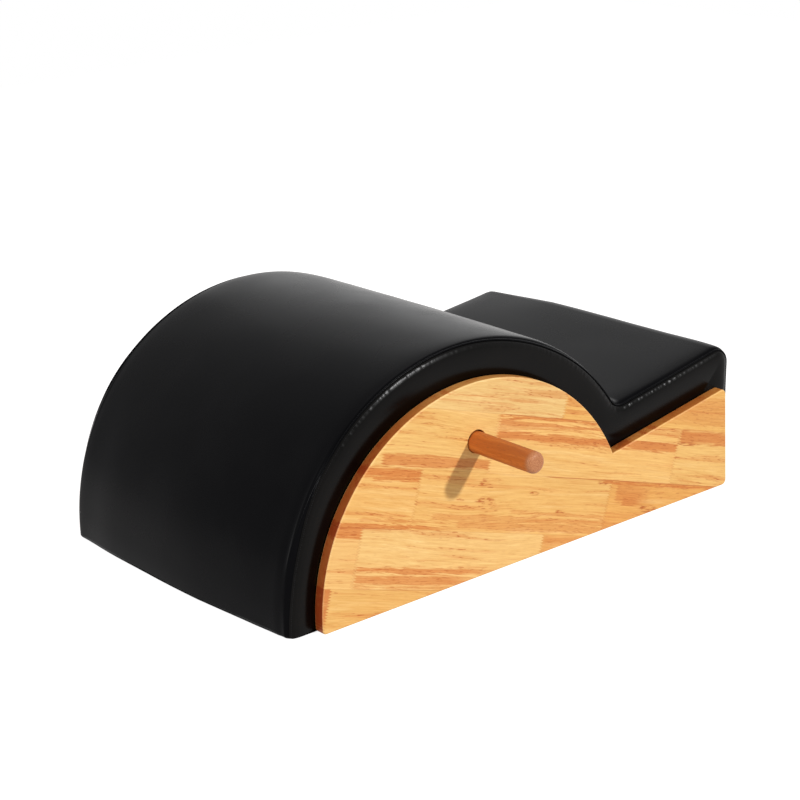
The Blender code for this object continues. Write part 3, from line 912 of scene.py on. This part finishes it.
handGrip = {
    "radius": 15.8 * mm,
    "reach": gripReach,
    "depth": 100 * mm,
    "tipRound": 7 * mm,
    "tipCrown": 0.8 * mm,
    "innerChamfer": 2 * mm,
    "sag": 0.8 * mm,  # the loose grip lies on the bottom of its hole
    "poleRadius": 0.0001 * mm,  # of the rings that are merged into the ends' middles
    "steps": 64,
    "tipSteps": 10,
    "crownRings": (0.2, 0.45, 0.7, 0.9),
    "lengthRings": (0.02, 0.2, 0.4, 0.6, 0.8, 1.0),
}


def makeHandGrip(side, sign):
    radius, tip = handGrip["radius"], handGrip["tipRound"]
    profile = [(0.0, handGrip["reach"])]
    for share in handGrip["crownRings"]:
        flat = (radius - tip) * share
        profile.append((flat, handGrip["reach"] - handGrip["tipCrown"] * share**2 * 0.5))
    start = handGrip["reach"] - handGrip["tipCrown"] * 0.5
    profile += list(arcPoints((radius - tip, start - tip), tip, 90, 0, handGrip["tipSteps"]))
    inner = handGrip["innerChamfer"] - handGrip["depth"]
    for share in handGrip["lengthRings"]:
        profile.append((radius, (start - tip) * (1 - share) + inner * share))
    profile.append((radius - handGrip["innerChamfer"], -handGrip["depth"]))
    profile.append((0.0, -handGrip["depth"]))
    height = gripHeight - handGrip["sag"]
    circles = []
    for r, distance in profile:
        y = sign * (panelOuterY + distance)
        circles.append(circleAt(0.0, height, max(r, handGrip["poleRadius"]), y, handGrip["steps"]))
    bm = bmesh.new()
    rings = vertsOf(bm, circles)
    joinRings(bm, rings)
    for ring in (rings[0], rings[-1]):
        bmesh.ops.pointmerge(bm, verts=ring, merge_co=(axisX, ring[0].co.y, height))
    mesh = meshOf(f"handGrip_{side}", bm)
    obj = finishedObject(mesh, gripMaterial, f"grip_{side}")
    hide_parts(f"hand_grip_{side}")


for side, sign in sides.items():
    makeHandGrip(side, sign)
print("hand grips made")


# Upholstery: one padded strip over barrel and ramp, and a leather side wall at each side of it

upholstery = {
    "rises": (47.5 * mm, 52 * mm, 19 * mm),
    "floorGap": 1.5 * mm,
    "sinkLimit": 1.2 * mm,  # how much higher the strip's folded edge ends above the floor
    "levelZone": (12 * mm, 40 * mm),  # heights over which the seam's shift turns level
    "boardBottom": 4.8 * mm,
    "footRound": 5 * mm,
    "valleyRound": 28 * mm,
    "topRound": 20 * mm,
    # how far the padding stands out at the barrel's foot, in mm, across from the left seam (-1)
    # to the right one (1)
    "swellAcross": [-1, -0.97, -0.9, -0.73, -0.54, -0.27, 0, 0.3, 0.62, 0.9, 1],
    "footSwell": [-1.0, -7.0, -7.5, -4.6, -1.0, 3.6, 5.4, 5.0, 4.4, 1.0, 1.5],
    "hem": 35 * mm,
    "deckGap": 0.3 * mm,
    "coreInset": 5.1 * mm,
    "coreRound": 0.1 * mm,
    "steps": {
        "foot": 8, "barrel": 460, "valley": 18, "ramp": 124,
        "top": 16, "end": 70, "heel": 8, "hem": 6,
    },
    "simSteps": {
        "foot": 2, "barrel": 88, "valley": 4, "ramp": 24,
        "top": 4, "end": 14, "heel": 2, "hem": 2,
    },
    # the strip's cross section beside the seam, in mm: inward from the wood's plane, above the
    # padding's plain height, and that height near the barrel's foot, where the welt runs out
    # into a plain fold
    "edge": [
        (1.8, 1.7, 1.2), (1.0, 2.2, 1.5), (0.8, 2.9, 1.9), (1.2, 3.7, 2.4), (2.1, 4.3, 3.0),
        (3.0, 4.4, 3.6), (3.8, 4.0, 4.1), (4.4, 3.6, 4.5), (5.0, 4.2, 4.9), (5.7, 5.1, 5.35),
        (6.8, 5.9, 6.05), (8.6, 6.6, 6.8), (11.0, 7.1, 7.1),
    ],
    "calmAngles": (34.0, 50.0),
    "edgeColumns": 34,
    "crown": [  # the face further in: inset and height, in mm
        (14, 7.4), (18, 7.7), (24, 7.9), (32, 8.1), (43, 8.3), (56, 8.4), (72, 8.5), (94, 8.6),
        (120, 8.7), (160, 8.9), (205, 9.1), (240, 9.2),
    ],
    "simInsets": [14, 25, 40, 56, 74, 94, 116, 140, 165, 192, 219, 246],
}
# how far the seam leaves its plain height, in mm, by the angle round from the barrel's foot
seamShape = {
    "angles": [
        0, 5, 10, 15, 20, 25, 30, 35, 40, 45, 50, 60, 75, 90, 105, 118, 130, 145, 160, 168, 180,
    ],
    "shifts": {
        "left": [
            -6, -7.5, -8.5, -8.5, -7.8, -6.2, -3.6, -1.6, -0.3, 0.2, 1.4,
            2.6, 2.1, 1.2, -0.9, -1.6, -0.8, -0.6, -0.6, -2.8, -3,
        ],
        "right": [
            -13.5, -10.5, -7, -4, -1, 0.8, 2.2, 3.6, 4.4, 4.0, 3.4,
            3.0, 2.0, 0.4, -1.3, -1.6, 0.5, 2.0, 0, 0, 0,
        ],
    },
    # how far from the seam the strip is back at its plain height
    "reaches": {
        "left": [11, 12, 13, 11, 7, 3, 2, 2, 3, 5, 8] + [11] * 10,
        "right": [11] * 21,
    },
    # the corners of the step leave the plain height over a wider stretch
    "cornerAngle": 159.0,
    "cornerSpan": 3.8,
    "cornerDrops": {"left": -2.0 * mm, "right": 8.5 * mm},
    "cornerReach": 190 * mm,
}
sideWall = {
    # the wall's cross section, in mm, from the seam down to where it passes behind the wood:
    # inset, height, and the inset near the barrel's foot
    "section": [
        (1.7, 1.6, 1.2), (0.8, 1.1, 0.8), (-0.2, 0.0, -0.3), (-1.1, -1.7, -1.5),
        (-2.0, -3.8, -2.3), (-2.7, -5.9, -2.9), (-3.1, -8.6, -3.1), (-3.4, -12.0, -3.4),
        (-3.4, -17.0, -3.4), (-3.0, -24.0, -3.0), (-1.9, -33.0, -1.9), (-0.6, -41.0, -0.6),
        (0.5, -46.5, 0.5), (0.6, -54.0, 0.6),
    ],
    "columns": 44,
    "bottomSteps": 60,
    "bottom": 2.5 * mm,
    "footRound": 3.2 * mm,
    "smallestRound": 1.0 * mm,
    "backDrop": 1.5 * mm,
    "backBottom": 5.0 * mm,
    "seamDrop": 1.6 * mm,
    "depth": 54 * mm,
    "thickness": 4.8 * mm,
    "faceInset": 0.6 * mm,
    "stitchColumn": 3,  # the place in the cross section where the stitches lie
    "screws": 5,
    "screwHole": 2.8 * mm,
    "screwSteps": 20,
    "puckerDepth": 0.55 * mm,
    "puckerLength": 5.5 * mm,
    "finePuckerLength": 2.475 * mm,
    "puckerSeeds": (3.1, 9.7, 5.3),
    "puckerZone": (0.3 * mm, 2.5 * mm, 3 * mm, 13 * mm),  # below the seam: rises, then fades
    "puckerPatch": 60 * mm,  # stretches that are puckered more and less
}


def roundFromFoot(outline):
    # the angle of each point about the barrel's axis, in degrees round from the barrel's foot
    return np.degrees(np.arctan2(np.maximum(outline[:, 1] - axisHeight, 0), -outline[:, 0]))


def calmness(outline):
    # 1 near the barrel's foot, 0 where the seam has its full welt
    low, high = upholstery["calmAngles"]
    return 1 - smoothStep(roundFromFoot(outline), low, high)


def seamShift(outline, away, side):
    # what the seam's path adds to the height of each point, at a distance away from the seam
    angle = roundFromFoot(outline)
    reach = np.interp(angle, seamShape["angles"], seamShape["reaches"][side]) * mm
    corner = np.exp(-(((angle - seamShape["cornerAngle"]) / seamShape["cornerSpan"]) ** 2))
    fading = 1 - float(smoothStep(away, 0.0, seamShape["cornerReach"]))
    corner *= seamShape["cornerDrops"][side] * fading
    shift = steadily(angle, seamShape["angles"], seamShape["shifts"][side]) * mm
    return shift * np.maximum(1 - away / reach, 0.0) ** 2 - corner


def shifted(outline, amount):
    # moves each point of an outline outward by its own amount, level where it is near the floor
    tangent = np.gradient(outline, axis=0)
    tangent /= np.linalg.norm(tangent, axis=1, keepdims=True)
    outward = np.stack([-tangent[:, 1], tangent[:, 0]], axis=1)
    level = np.stack([np.sign(outline[:, 0]), np.zeros(len(outline))], axis=1)
    low = smoothStep(outline[:, 1], *upholstery["levelZone"][::-1])[:, None]
    return outline + (outward * (1 - low) + level * low) * amount[:, None]


def coverOutline(lift, y, steps):
    # the strip's outer face at a place across the width
    across = [y / planeY]
    swell = float(steadily(across, upholstery["swellAcross"], upholstery["footSwell"])[0]) * mm
    rises = [rise + lift for rise in upholstery["rises"]]
    sunk = min(max(-lift, 0.0), upholstery["sinkLimit"])
    rounds = (
        upholstery["footRound"],
        upholstery["valleyRound"] - lift,
        upholstery["topRound"] + lift,
        upholstery["footRound"],
    )
    return sideOutline(rises, upholstery["floorGap"] + sunk, rounds, steps, swell)


def withHems(outline, steps):
    first = (upholstery["hem"] - barrelRadius, outline[0][1])
    last = (outlineShape["stepEnd"] - upholstery["hem"], outline[-1][1])
    return np.concatenate([
        straight(first, outline[0], steps["hem"])[:-1],
        outline,
        straight(outline[-1], last, steps["hem"])[1:],
    ])


def coverGrid(section, steps):
    # rows along the strip and columns across it; the section lists inset and lifts
    # from one seam to the middle
    columns = []
    for side, sign in sides.items():
        half = []
        for inset, lift, calmLift in section:
            y = sign * (planeY - inset)
            outline = coverOutline(lift, y, steps)
            amount = seamShift(outline, max(inset - section[0][0], 0.0), side)
            outline = shifted(outline, amount + (calmLift - lift) * calmness(outline))
            half.append(placed(withHems(outline, steps), y))
        columns += half if side == "left" else half[-2::-1]
    return np.array(columns).transpose(1, 0, 2)


def rowShares(steps):
    # the same number at the same place along the strip, however fine the rows are
    shares = [[0.0]]
    stretches = ("hem", "foot", "barrel", "valley", "ramp", "top", "end", "heel", "hem")
    for k, key in enumerate(stretches):
        shares.append(k + np.linspace(0, 1, steps[key] + 1)[1:])
    return np.concatenate(shares)


cushionSim = {
    "cloth": {
        "use_pressure": True,
        "uniform_pressure_force": 4.0,
        "quality": 6,
        "mass": 0.25,
        "tension_stiffness": 40.0,
        "compression_stiffness": 40.0,
        "bending_stiffness": 1.5,
        "vertex_group_mass": "held",
        "pin_stiffness": 1.0,
    },
    "frames": 20,
    "cap": 4.5 * mm,
    "foamHold": 0.36,  # how firmly the foam holds the leather, from 0 to 1 at the seams and hems
    "smoothing": 4,
}


def outwardNormals(grid):
    alongRows = np.gradient(grid, axis=0)
    alongColumns = np.gradient(grid, axis=1)
    normals = np.cross(alongColumns, alongRows)
    normals /= np.maximum(np.linalg.norm(normals, axis=2, keepdims=True), 1e-12)
    top = normals[len(grid) // 3, grid.shape[1] // 2, 2]
    return normals if top > 0 else -normals


def swollen(grid):
    # a cloth simulation of the strip, held at its seams and hems and puffed up by pressure
    rows, columns = grid.shape[:2]
    mesh = bpy.data.meshes.new("stripSim")
    index = np.arange(rows * columns).reshape(rows, columns)
    corners = (index[:-1, :-1], index[1:, :-1], index[1:, 1:], index[:-1, 1:])
    faces = np.stack(corners, axis=-1).reshape(-1, 4)
    mesh.from_pydata(grid.reshape(-1, 3).tolist(), [], faces.tolist())
    obj = addObject("stripSim", mesh)
    held = obj.vertex_groups.new(name="held")
    edge = np.ones((rows, columns), bool)
    edge[1:-1, 1:-1] = False
    held.add(index[~edge].tolist(), cushionSim["foamHold"], "REPLACE")
    held.add(index[edge].tolist(), 1.0, "REPLACE")
    cloth = obj.modifiers.new("cloth", "CLOTH")
    for key, value in cushionSim["cloth"].items():
        setattr(cloth.settings, key, value)
    cloth.settings.effector_weights.gravity = 0.0
    cloth.collision_settings.use_collision = False
    for timed in (scene, cloth.point_cache):
        timed.frame_start = 1
        timed.frame_end = cushionSim["frames"]
    for number in range(1, cushionSim["frames"] + 1):
        scene.frame_set(number)
    graph = bpy.context.evaluated_depsgraph_get()
    moved = np.zeros(rows * columns * 3)
    obj.evaluated_get(graph).to_mesh().vertices.foreach_get("co", moved)
    moved = moved.reshape(rows, columns, 3) - grid
    bpy.data.objects.remove(obj, do_unlink=True)
    scene.frame_set(1)
    for _ in range(cushionSim["smoothing"]):
        moved[1:-1] = 0.25 * moved[:-2] + 0.5 * moved[1:-1] + 0.25 * moved[2:]
    size = np.linalg.norm(moved, axis=2, keepdims=True)
    outward = (moved * outwardNormals(grid)).sum(axis=2)
    print("strip swelled outward by up to", round(float(outward.max()) / mm, 2),
          "mm before the cap, and by", round(float(outward[rows // 4, columns // 2]) / mm, 2),
          "mm over the barrel")
    return moved * np.minimum(1.0, cushionSim["cap"] / np.maximum(size, 1e-9))


def fineFrom(coarse, coarseRows, coarseColumns, fineRows, fineColumns):
    # carries values on the coarse grid over to the fine one
    along = steadily(fineRows, coarseRows, coarse)
    return steadily(fineColumns, coarseColumns, along.transpose(1, 0, 2)).transpose(1, 0, 2)


def wobble(x, y, z=0.0):
    return noise.noise(Vector((x, y, z)))


stripDetail = {
    "unevenness": 0.30 * mm,
    "unevenSize": 60 * mm,
    "smoothEdge": (6 * mm, 30 * mm),  # even at the seam, fully uneven further in
}


def swellingOf(section, steps, columns):
    # the simulated swelling on a coarse strip, carried over to the fine one
    simSection = [section[0]]
    insets, lifts, _ = zip(*section[1:])
    for inset in metres(upholstery["simInsets"]):
        lift = float(np.interp(inset, insets, lifts))
        simSection.append((inset, lift, lift))
    simSection.append(section[-1])
    simSteps = upholstery["simSteps"]
    coarse = coverGrid(simSection, simSteps)
    coarseColumns = coarse[0, :, 1] / planeY
    return fineFrom(swollen(coarse), rowShares(simSteps), coarseColumns, rowShares(steps), columns)


def makeCover():
    edge = smoothThrough(upholstery["edge"], upholstery["edgeColumns"])
    section = [tuple(row * mm) for row in edge]
    section += [(v * mm, h * mm, h * mm) for v, h in upholstery["crown"]]
    section.append((planeY, *section[-1][1:]))
    steps = upholstery["steps"]
    grid = coverGrid(section, steps)
    grid = grid + swellingOf(section, steps, grid[0, :, 1] / planeY)

    # slight unevenness of the padding
    spots = grid / stripDetail["unevenSize"]
    uneven = np.array([[wobble(*spot) for spot in row] for row in spots])
    inset = planeY - np.abs(grid[:, :, 1])
    away = stripDetail["unevenness"] * uneven * smoothStep(inset, *stripDetail["smoothEdge"])
    away[:steps["hem"]] = 0
    away[-steps["hem"]:] = 0
    grid = grid + outwardNormals(grid) * away[:, :, None]

    # the underside of the padding follows the decks
    gap = upholstery["deckGap"]
    rounds = (upholstery["coreRound"],) * 4
    inner = sideOutline((gap, gap, gap), upholstery["boardBottom"] - gap, rounds, steps)
    coreY = planeY - upholstery["coreInset"]
    under = [[(axisX + u, y, z) for y in (-coreY, 0.0, coreY)] for u, z in withHems(inner, steps)]
    bm = bmesh.new()
    faceVerts, underVerts = vertsOf(bm, grid), vertsOf(bm, under)
    rings = [near + far[::-1] for near, far in zip(faceVerts, underVerts)]
    joinRings(bm, rings)
    bm.faces.new(rings[0])
    bm.faces.new(rings[-1][::-1])
    mesh = meshOf("padCover", bm)
    obj = finishedObject(mesh, leather, "base")
    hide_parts("cover_top", "barrel_foam", "step_foam", "end_foam")


makeCover()
print("padded cover made")


def wallOutline(drop, base, side):
    rises = [rise - drop for rise in upholstery["rises"]]
    foot = sideWall["footRound"]
    top = max(upholstery["topRound"] - drop, sideWall["smallestRound"])
    rounds = (foot, upholstery["valleyRound"] + drop, top, foot)
    outline = sideOutline(rises, base, rounds, upholstery["steps"])
    follows = max(1 - drop / sideWall["depth"], 0.0)
    outline = shifted(outline, seamShift(outline, 0.0, side) * follows)
    bottom = straight(outline[-1], outline[0], sideWall["bottomSteps"])[1:-1]
    return np.concatenate([outline, bottom])


def puckersAlong(length, sign):
    # how far the wall is puckered at each distance along the seam
    coarse, fine, patch = (seed * sign for seed in sideWall["puckerSeeds"])
    puckers = []
    for s in length:
        pucker = wobble(s / sideWall["puckerLength"], coarse)
        pucker += 0.5 * wobble(s / sideWall["finePuckerLength"], fine)
        puckers.append(pucker * (0.75 + 0.8 * wobble(s / sideWall["puckerPatch"], patch)))
    return sideWall["puckerDepth"] * np.array(puckers)


def makeWall(side, sign):
    section = smoothThrough(sideWall["section"], sideWall["columns"]) * mm
    outlines = [wallOutline(-lift, sideWall["bottom"], side) for _, lift, _ in section]
    puckers = puckersAlong(lengthAlong(outlines[0]), sign)
    starts, full, fades, ends = sideWall["puckerZone"]
    loops = []
    for (inset, lift, calmInset), outline in zip(section, outlines):
        inset = inset + (calmInset - inset) * calmness(outline)
        drop = sideWall["seamDrop"] - lift
        share = float(smoothStep(drop, starts, full) * smoothStep(drop, ends, fades))
        places = zip(outline, inset - share * puckers)
        loops.append([(axisX + u, sign * (planeY - v), z) for (u, z), v in places])
    seamLength = len(outlines[0]) - sideWall["bottomSteps"]
    stitchLine = loops[sideWall["stitchColumn"]][:seamLength]
    loops = loops[::-1]
    inner = sign * (planeY - sideWall["thickness"])
    back = wallOutline(sideWall["backDrop"], sideWall["backBottom"], side)
    loops.append(placed(back, inner))
    holes = [(0.0, gripHeight, sidePanel["boreRadius"], sidePanel["boreSteps"])]
    for number in range(1, sideWall["screws"] + 1):
        low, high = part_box(f"panel_screw_{side}_{number}")
        u, z = (low.x + high.x) / 2 - axisX, (low.z + high.z) / 2
        holes.append((u, z, sideWall["screwHole"], sideWall["screwSteps"]))
    face = sign * (planeY - sideWall["faceInset"])
    bores = []
    for u, z, radius, steps in holes:
        bores.append([circleAt(u, z, radius, y, steps) for y in (face, inner)])
    mesh = plateMesh(f"sideWall_{side}", loops, bores)
    obj = finishedObject(mesh, wallLeather, "base")
    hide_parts(f"gusset_{side}")
    return stitchLine


stitchLines = {side: makeWall(side, sign) for side, sign in sides.items()}
print("side walls made")


# Seam stitches

seamStitches = {
    "Pitch": 3.1 * mm,
    "Stitch Length": 2.2 * mm,
    "Thread Thickness": 0.55 * mm,
}


def makeStitchTree():
    tree = bpy.data.node_groups.new("seamStitches", "GeometryNodeTree")
    tree.interface.new_socket("Geometry", in_out="INPUT", socket_type="NodeSocketGeometry")
    for label, value in seamStitches.items():
        socket = tree.interface.new_socket(label, in_out="INPUT", socket_type="NodeSocketFloat")
        socket.default_value = value
    tree.interface.new_socket("Material", in_out="INPUT", socket_type="NodeSocketMaterial")
    tree.interface.new_socket("Geometry", in_out="OUTPUT", socket_type="NodeSocketGeometry")
    given = tree.nodes.new("NodeGroupInput").outputs

    def step(kind, inputs, **settings):
        return addTo(tree, kind, inputs, **settings).outputs[0]

    curve = step("GeometryNodeMeshToCurve", {"Mesh": given["Geometry"]})
    inputs = {"Curve": curve, "Length": given["Pitch"]}
    marks = step("GeometryNodeResampleCurve", inputs, mode="LENGTH")
    tangent = step("GeometryNodeInputTangent", {})
    facing = step("FunctionNodeAlignRotationToVector", {"Vector": tangent}, axis="X")
    ball = step("GeometryNodeMeshUVSphere", {"Segments": 6, "Rings": 5, "Radius": 0.5})
    thick = given["Thread Thickness"]
    size = combined(given["Stitch Length"], thick, thick)
    inputs = {"Points": marks, "Instance": ball, "Rotation": facing, "Scale": size}
    laid = step("GeometryNodeInstanceOnPoints", inputs)
    real = step("GeometryNodeRealizeInstances", {0: laid})
    inputs = {"Geometry": real, "Material": given["Material"]}
    painted = step("GeometryNodeSetMaterial", inputs)
    feed(tree.nodes.new("NodeGroupOutput"), {0: painted})
    return tree


stitchTree = makeStitchTree()


def makeStitches(side):
    line = stitchLines[side]
    mesh = bpy.data.meshes.new(f"stitchLine_{side}")
    mesh.from_pydata(line, [(i, i + 1) for i in range(len(line) - 1)], [])
    guide = addObject(f"stitchLine_{side}", mesh)
    modifier = guide.modifiers.new("stitches", "NODES")
    modifier.node_group = stitchTree
    for item in stitchTree.interface.items_tree:
        if item.in_out == "INPUT" and item.name == "Material":
            modifier[item.identifier] = threadLook
    graph = bpy.context.evaluated_depsgraph_get()
    made = bpy.data.meshes.new_from_object(guide.evaluated_get(graph))
    bpy.data.objects.remove(guide)
    made.name = f"seamStitches_{side}"
    finishedObject(made, threadLook, "base", sharp=180.0)


for side in sides:
    makeStitches(side)
print("seam stitches laid")


# Finishes of the frame's own nodes

finishes = {
    "core_former": plywoods["Upright"],
    "centre_rib": plywoods["Upright"],
    "barrel_deck": plywoods["Bent"],
    "step_deck": plywoods["Step"],
    "end_board": plywoods["End"],
    "base_board": plywoods["Flat"],
    "_rail": pine,
    "grip_socket": pine,
    "panel_screw": screwSteel,
    "foot_barrel": rubber,
    "foot_step": rubber,
}
for name, obj in nodes.items():
    for part, material in finishes.items():
        if part in name:
            obj.data.materials.clear()
            obj.data.materials.append(material)
print("frame nodes finished")


# Floor, world and lamp

studio = {
    "floorSize": 8.0,
    "floorColours": [(0.3, (0.49, 0.49, 0.49)), (0.7, (0.50, 0.50, 0.50))],
    "floorGlow": 0.86,
    "ambient": 0.46,
    "ambientColour": (1.0, 0.90, 0.87),
    "keyAngle": 3.0,
    # direction from the object, distance and strength of each lamp, and the size of a soft box
    "lamps": {
        "key": ((0.329, -0.840, 0.397), 3.0, 2.3, None),
        "side": ((-0.83, -0.27, 0.49), 3.0, 30.0, (0.40, 0.55)),
        "back": ((0.56, 0.70, 0.44), 3.4, 5.5, (2.4, 2.0)),
    },
}


def seenDirectly(tree):
    path = addTo(tree, "ShaderNodeLightPath").outputs
    seen = larger(path["Is Camera Ray"], path["Is Glossy Ray"])
    return larger(seen, path["Is Transmission Ray"])


def makeFloor():
    half = studio["floorSize"] / 2
    mesh = bpy.data.meshes.new("floor")
    corners = [(-half, -half, 0), (half, -half, 0), (half, half, 0), (-half, half, 0)]
    mesh.from_pydata(corners, [], [(0, 1, 2, 3)])
    floor = addObject("floor", mesh)
    made, shader, point = newMaterial("paleFloor")
    feed(shader, {
        "Base Color": ramp(noiseAt(point, 40.0), studio["floorColours"]),
        "Roughness": 0.9,
        "Specular IOR Level": 0.0,
        "Emission Color": (1.0, 1.0, 1.0, 1.0),
        "Emission Strength": times(seenDirectly(made.node_tree), studio["floorGlow"]),
    })
    mesh.materials.append(made)


def makeWorld():
    world = bpy.data.worlds.new("studio")
    world.use_nodes = True
    scene.world = world
    seen = seenDirectly(world.node_tree)
    feed(world.node_tree.nodes["Background"], {
        "Color": mixed(seen, studio["ambientColour"], (1.0, 1.0, 1.0)),
        "Strength": ranged(seen, 0.0, 1.0, studio["ambient"], 1.0, smooth=False),
    })


def makeLamp(name, direction, away, strength, size):
    lamp = bpy.data.lights.new(name, "AREA" if size else "SUN")
    lamp.energy = strength
    if size:
        lamp.shape = "RECTANGLE"
        lamp.size, lamp.size_y = size
    else:
        lamp.angle = math.radians(studio["keyAngle"])
    obj = addObject(name, lamp)
    towards = Vector(direction).normalized()
    obj.rotation_euler = towards.to_track_quat("Z", "Y").to_euler()
    obj.location = towards * away


makeFloor()
makeWorld()
for name, values in studio["lamps"].items():
    makeLamp(name, *values)
scene.view_settings.view_transform = "Standard"
print("floor, world and lamp ready")
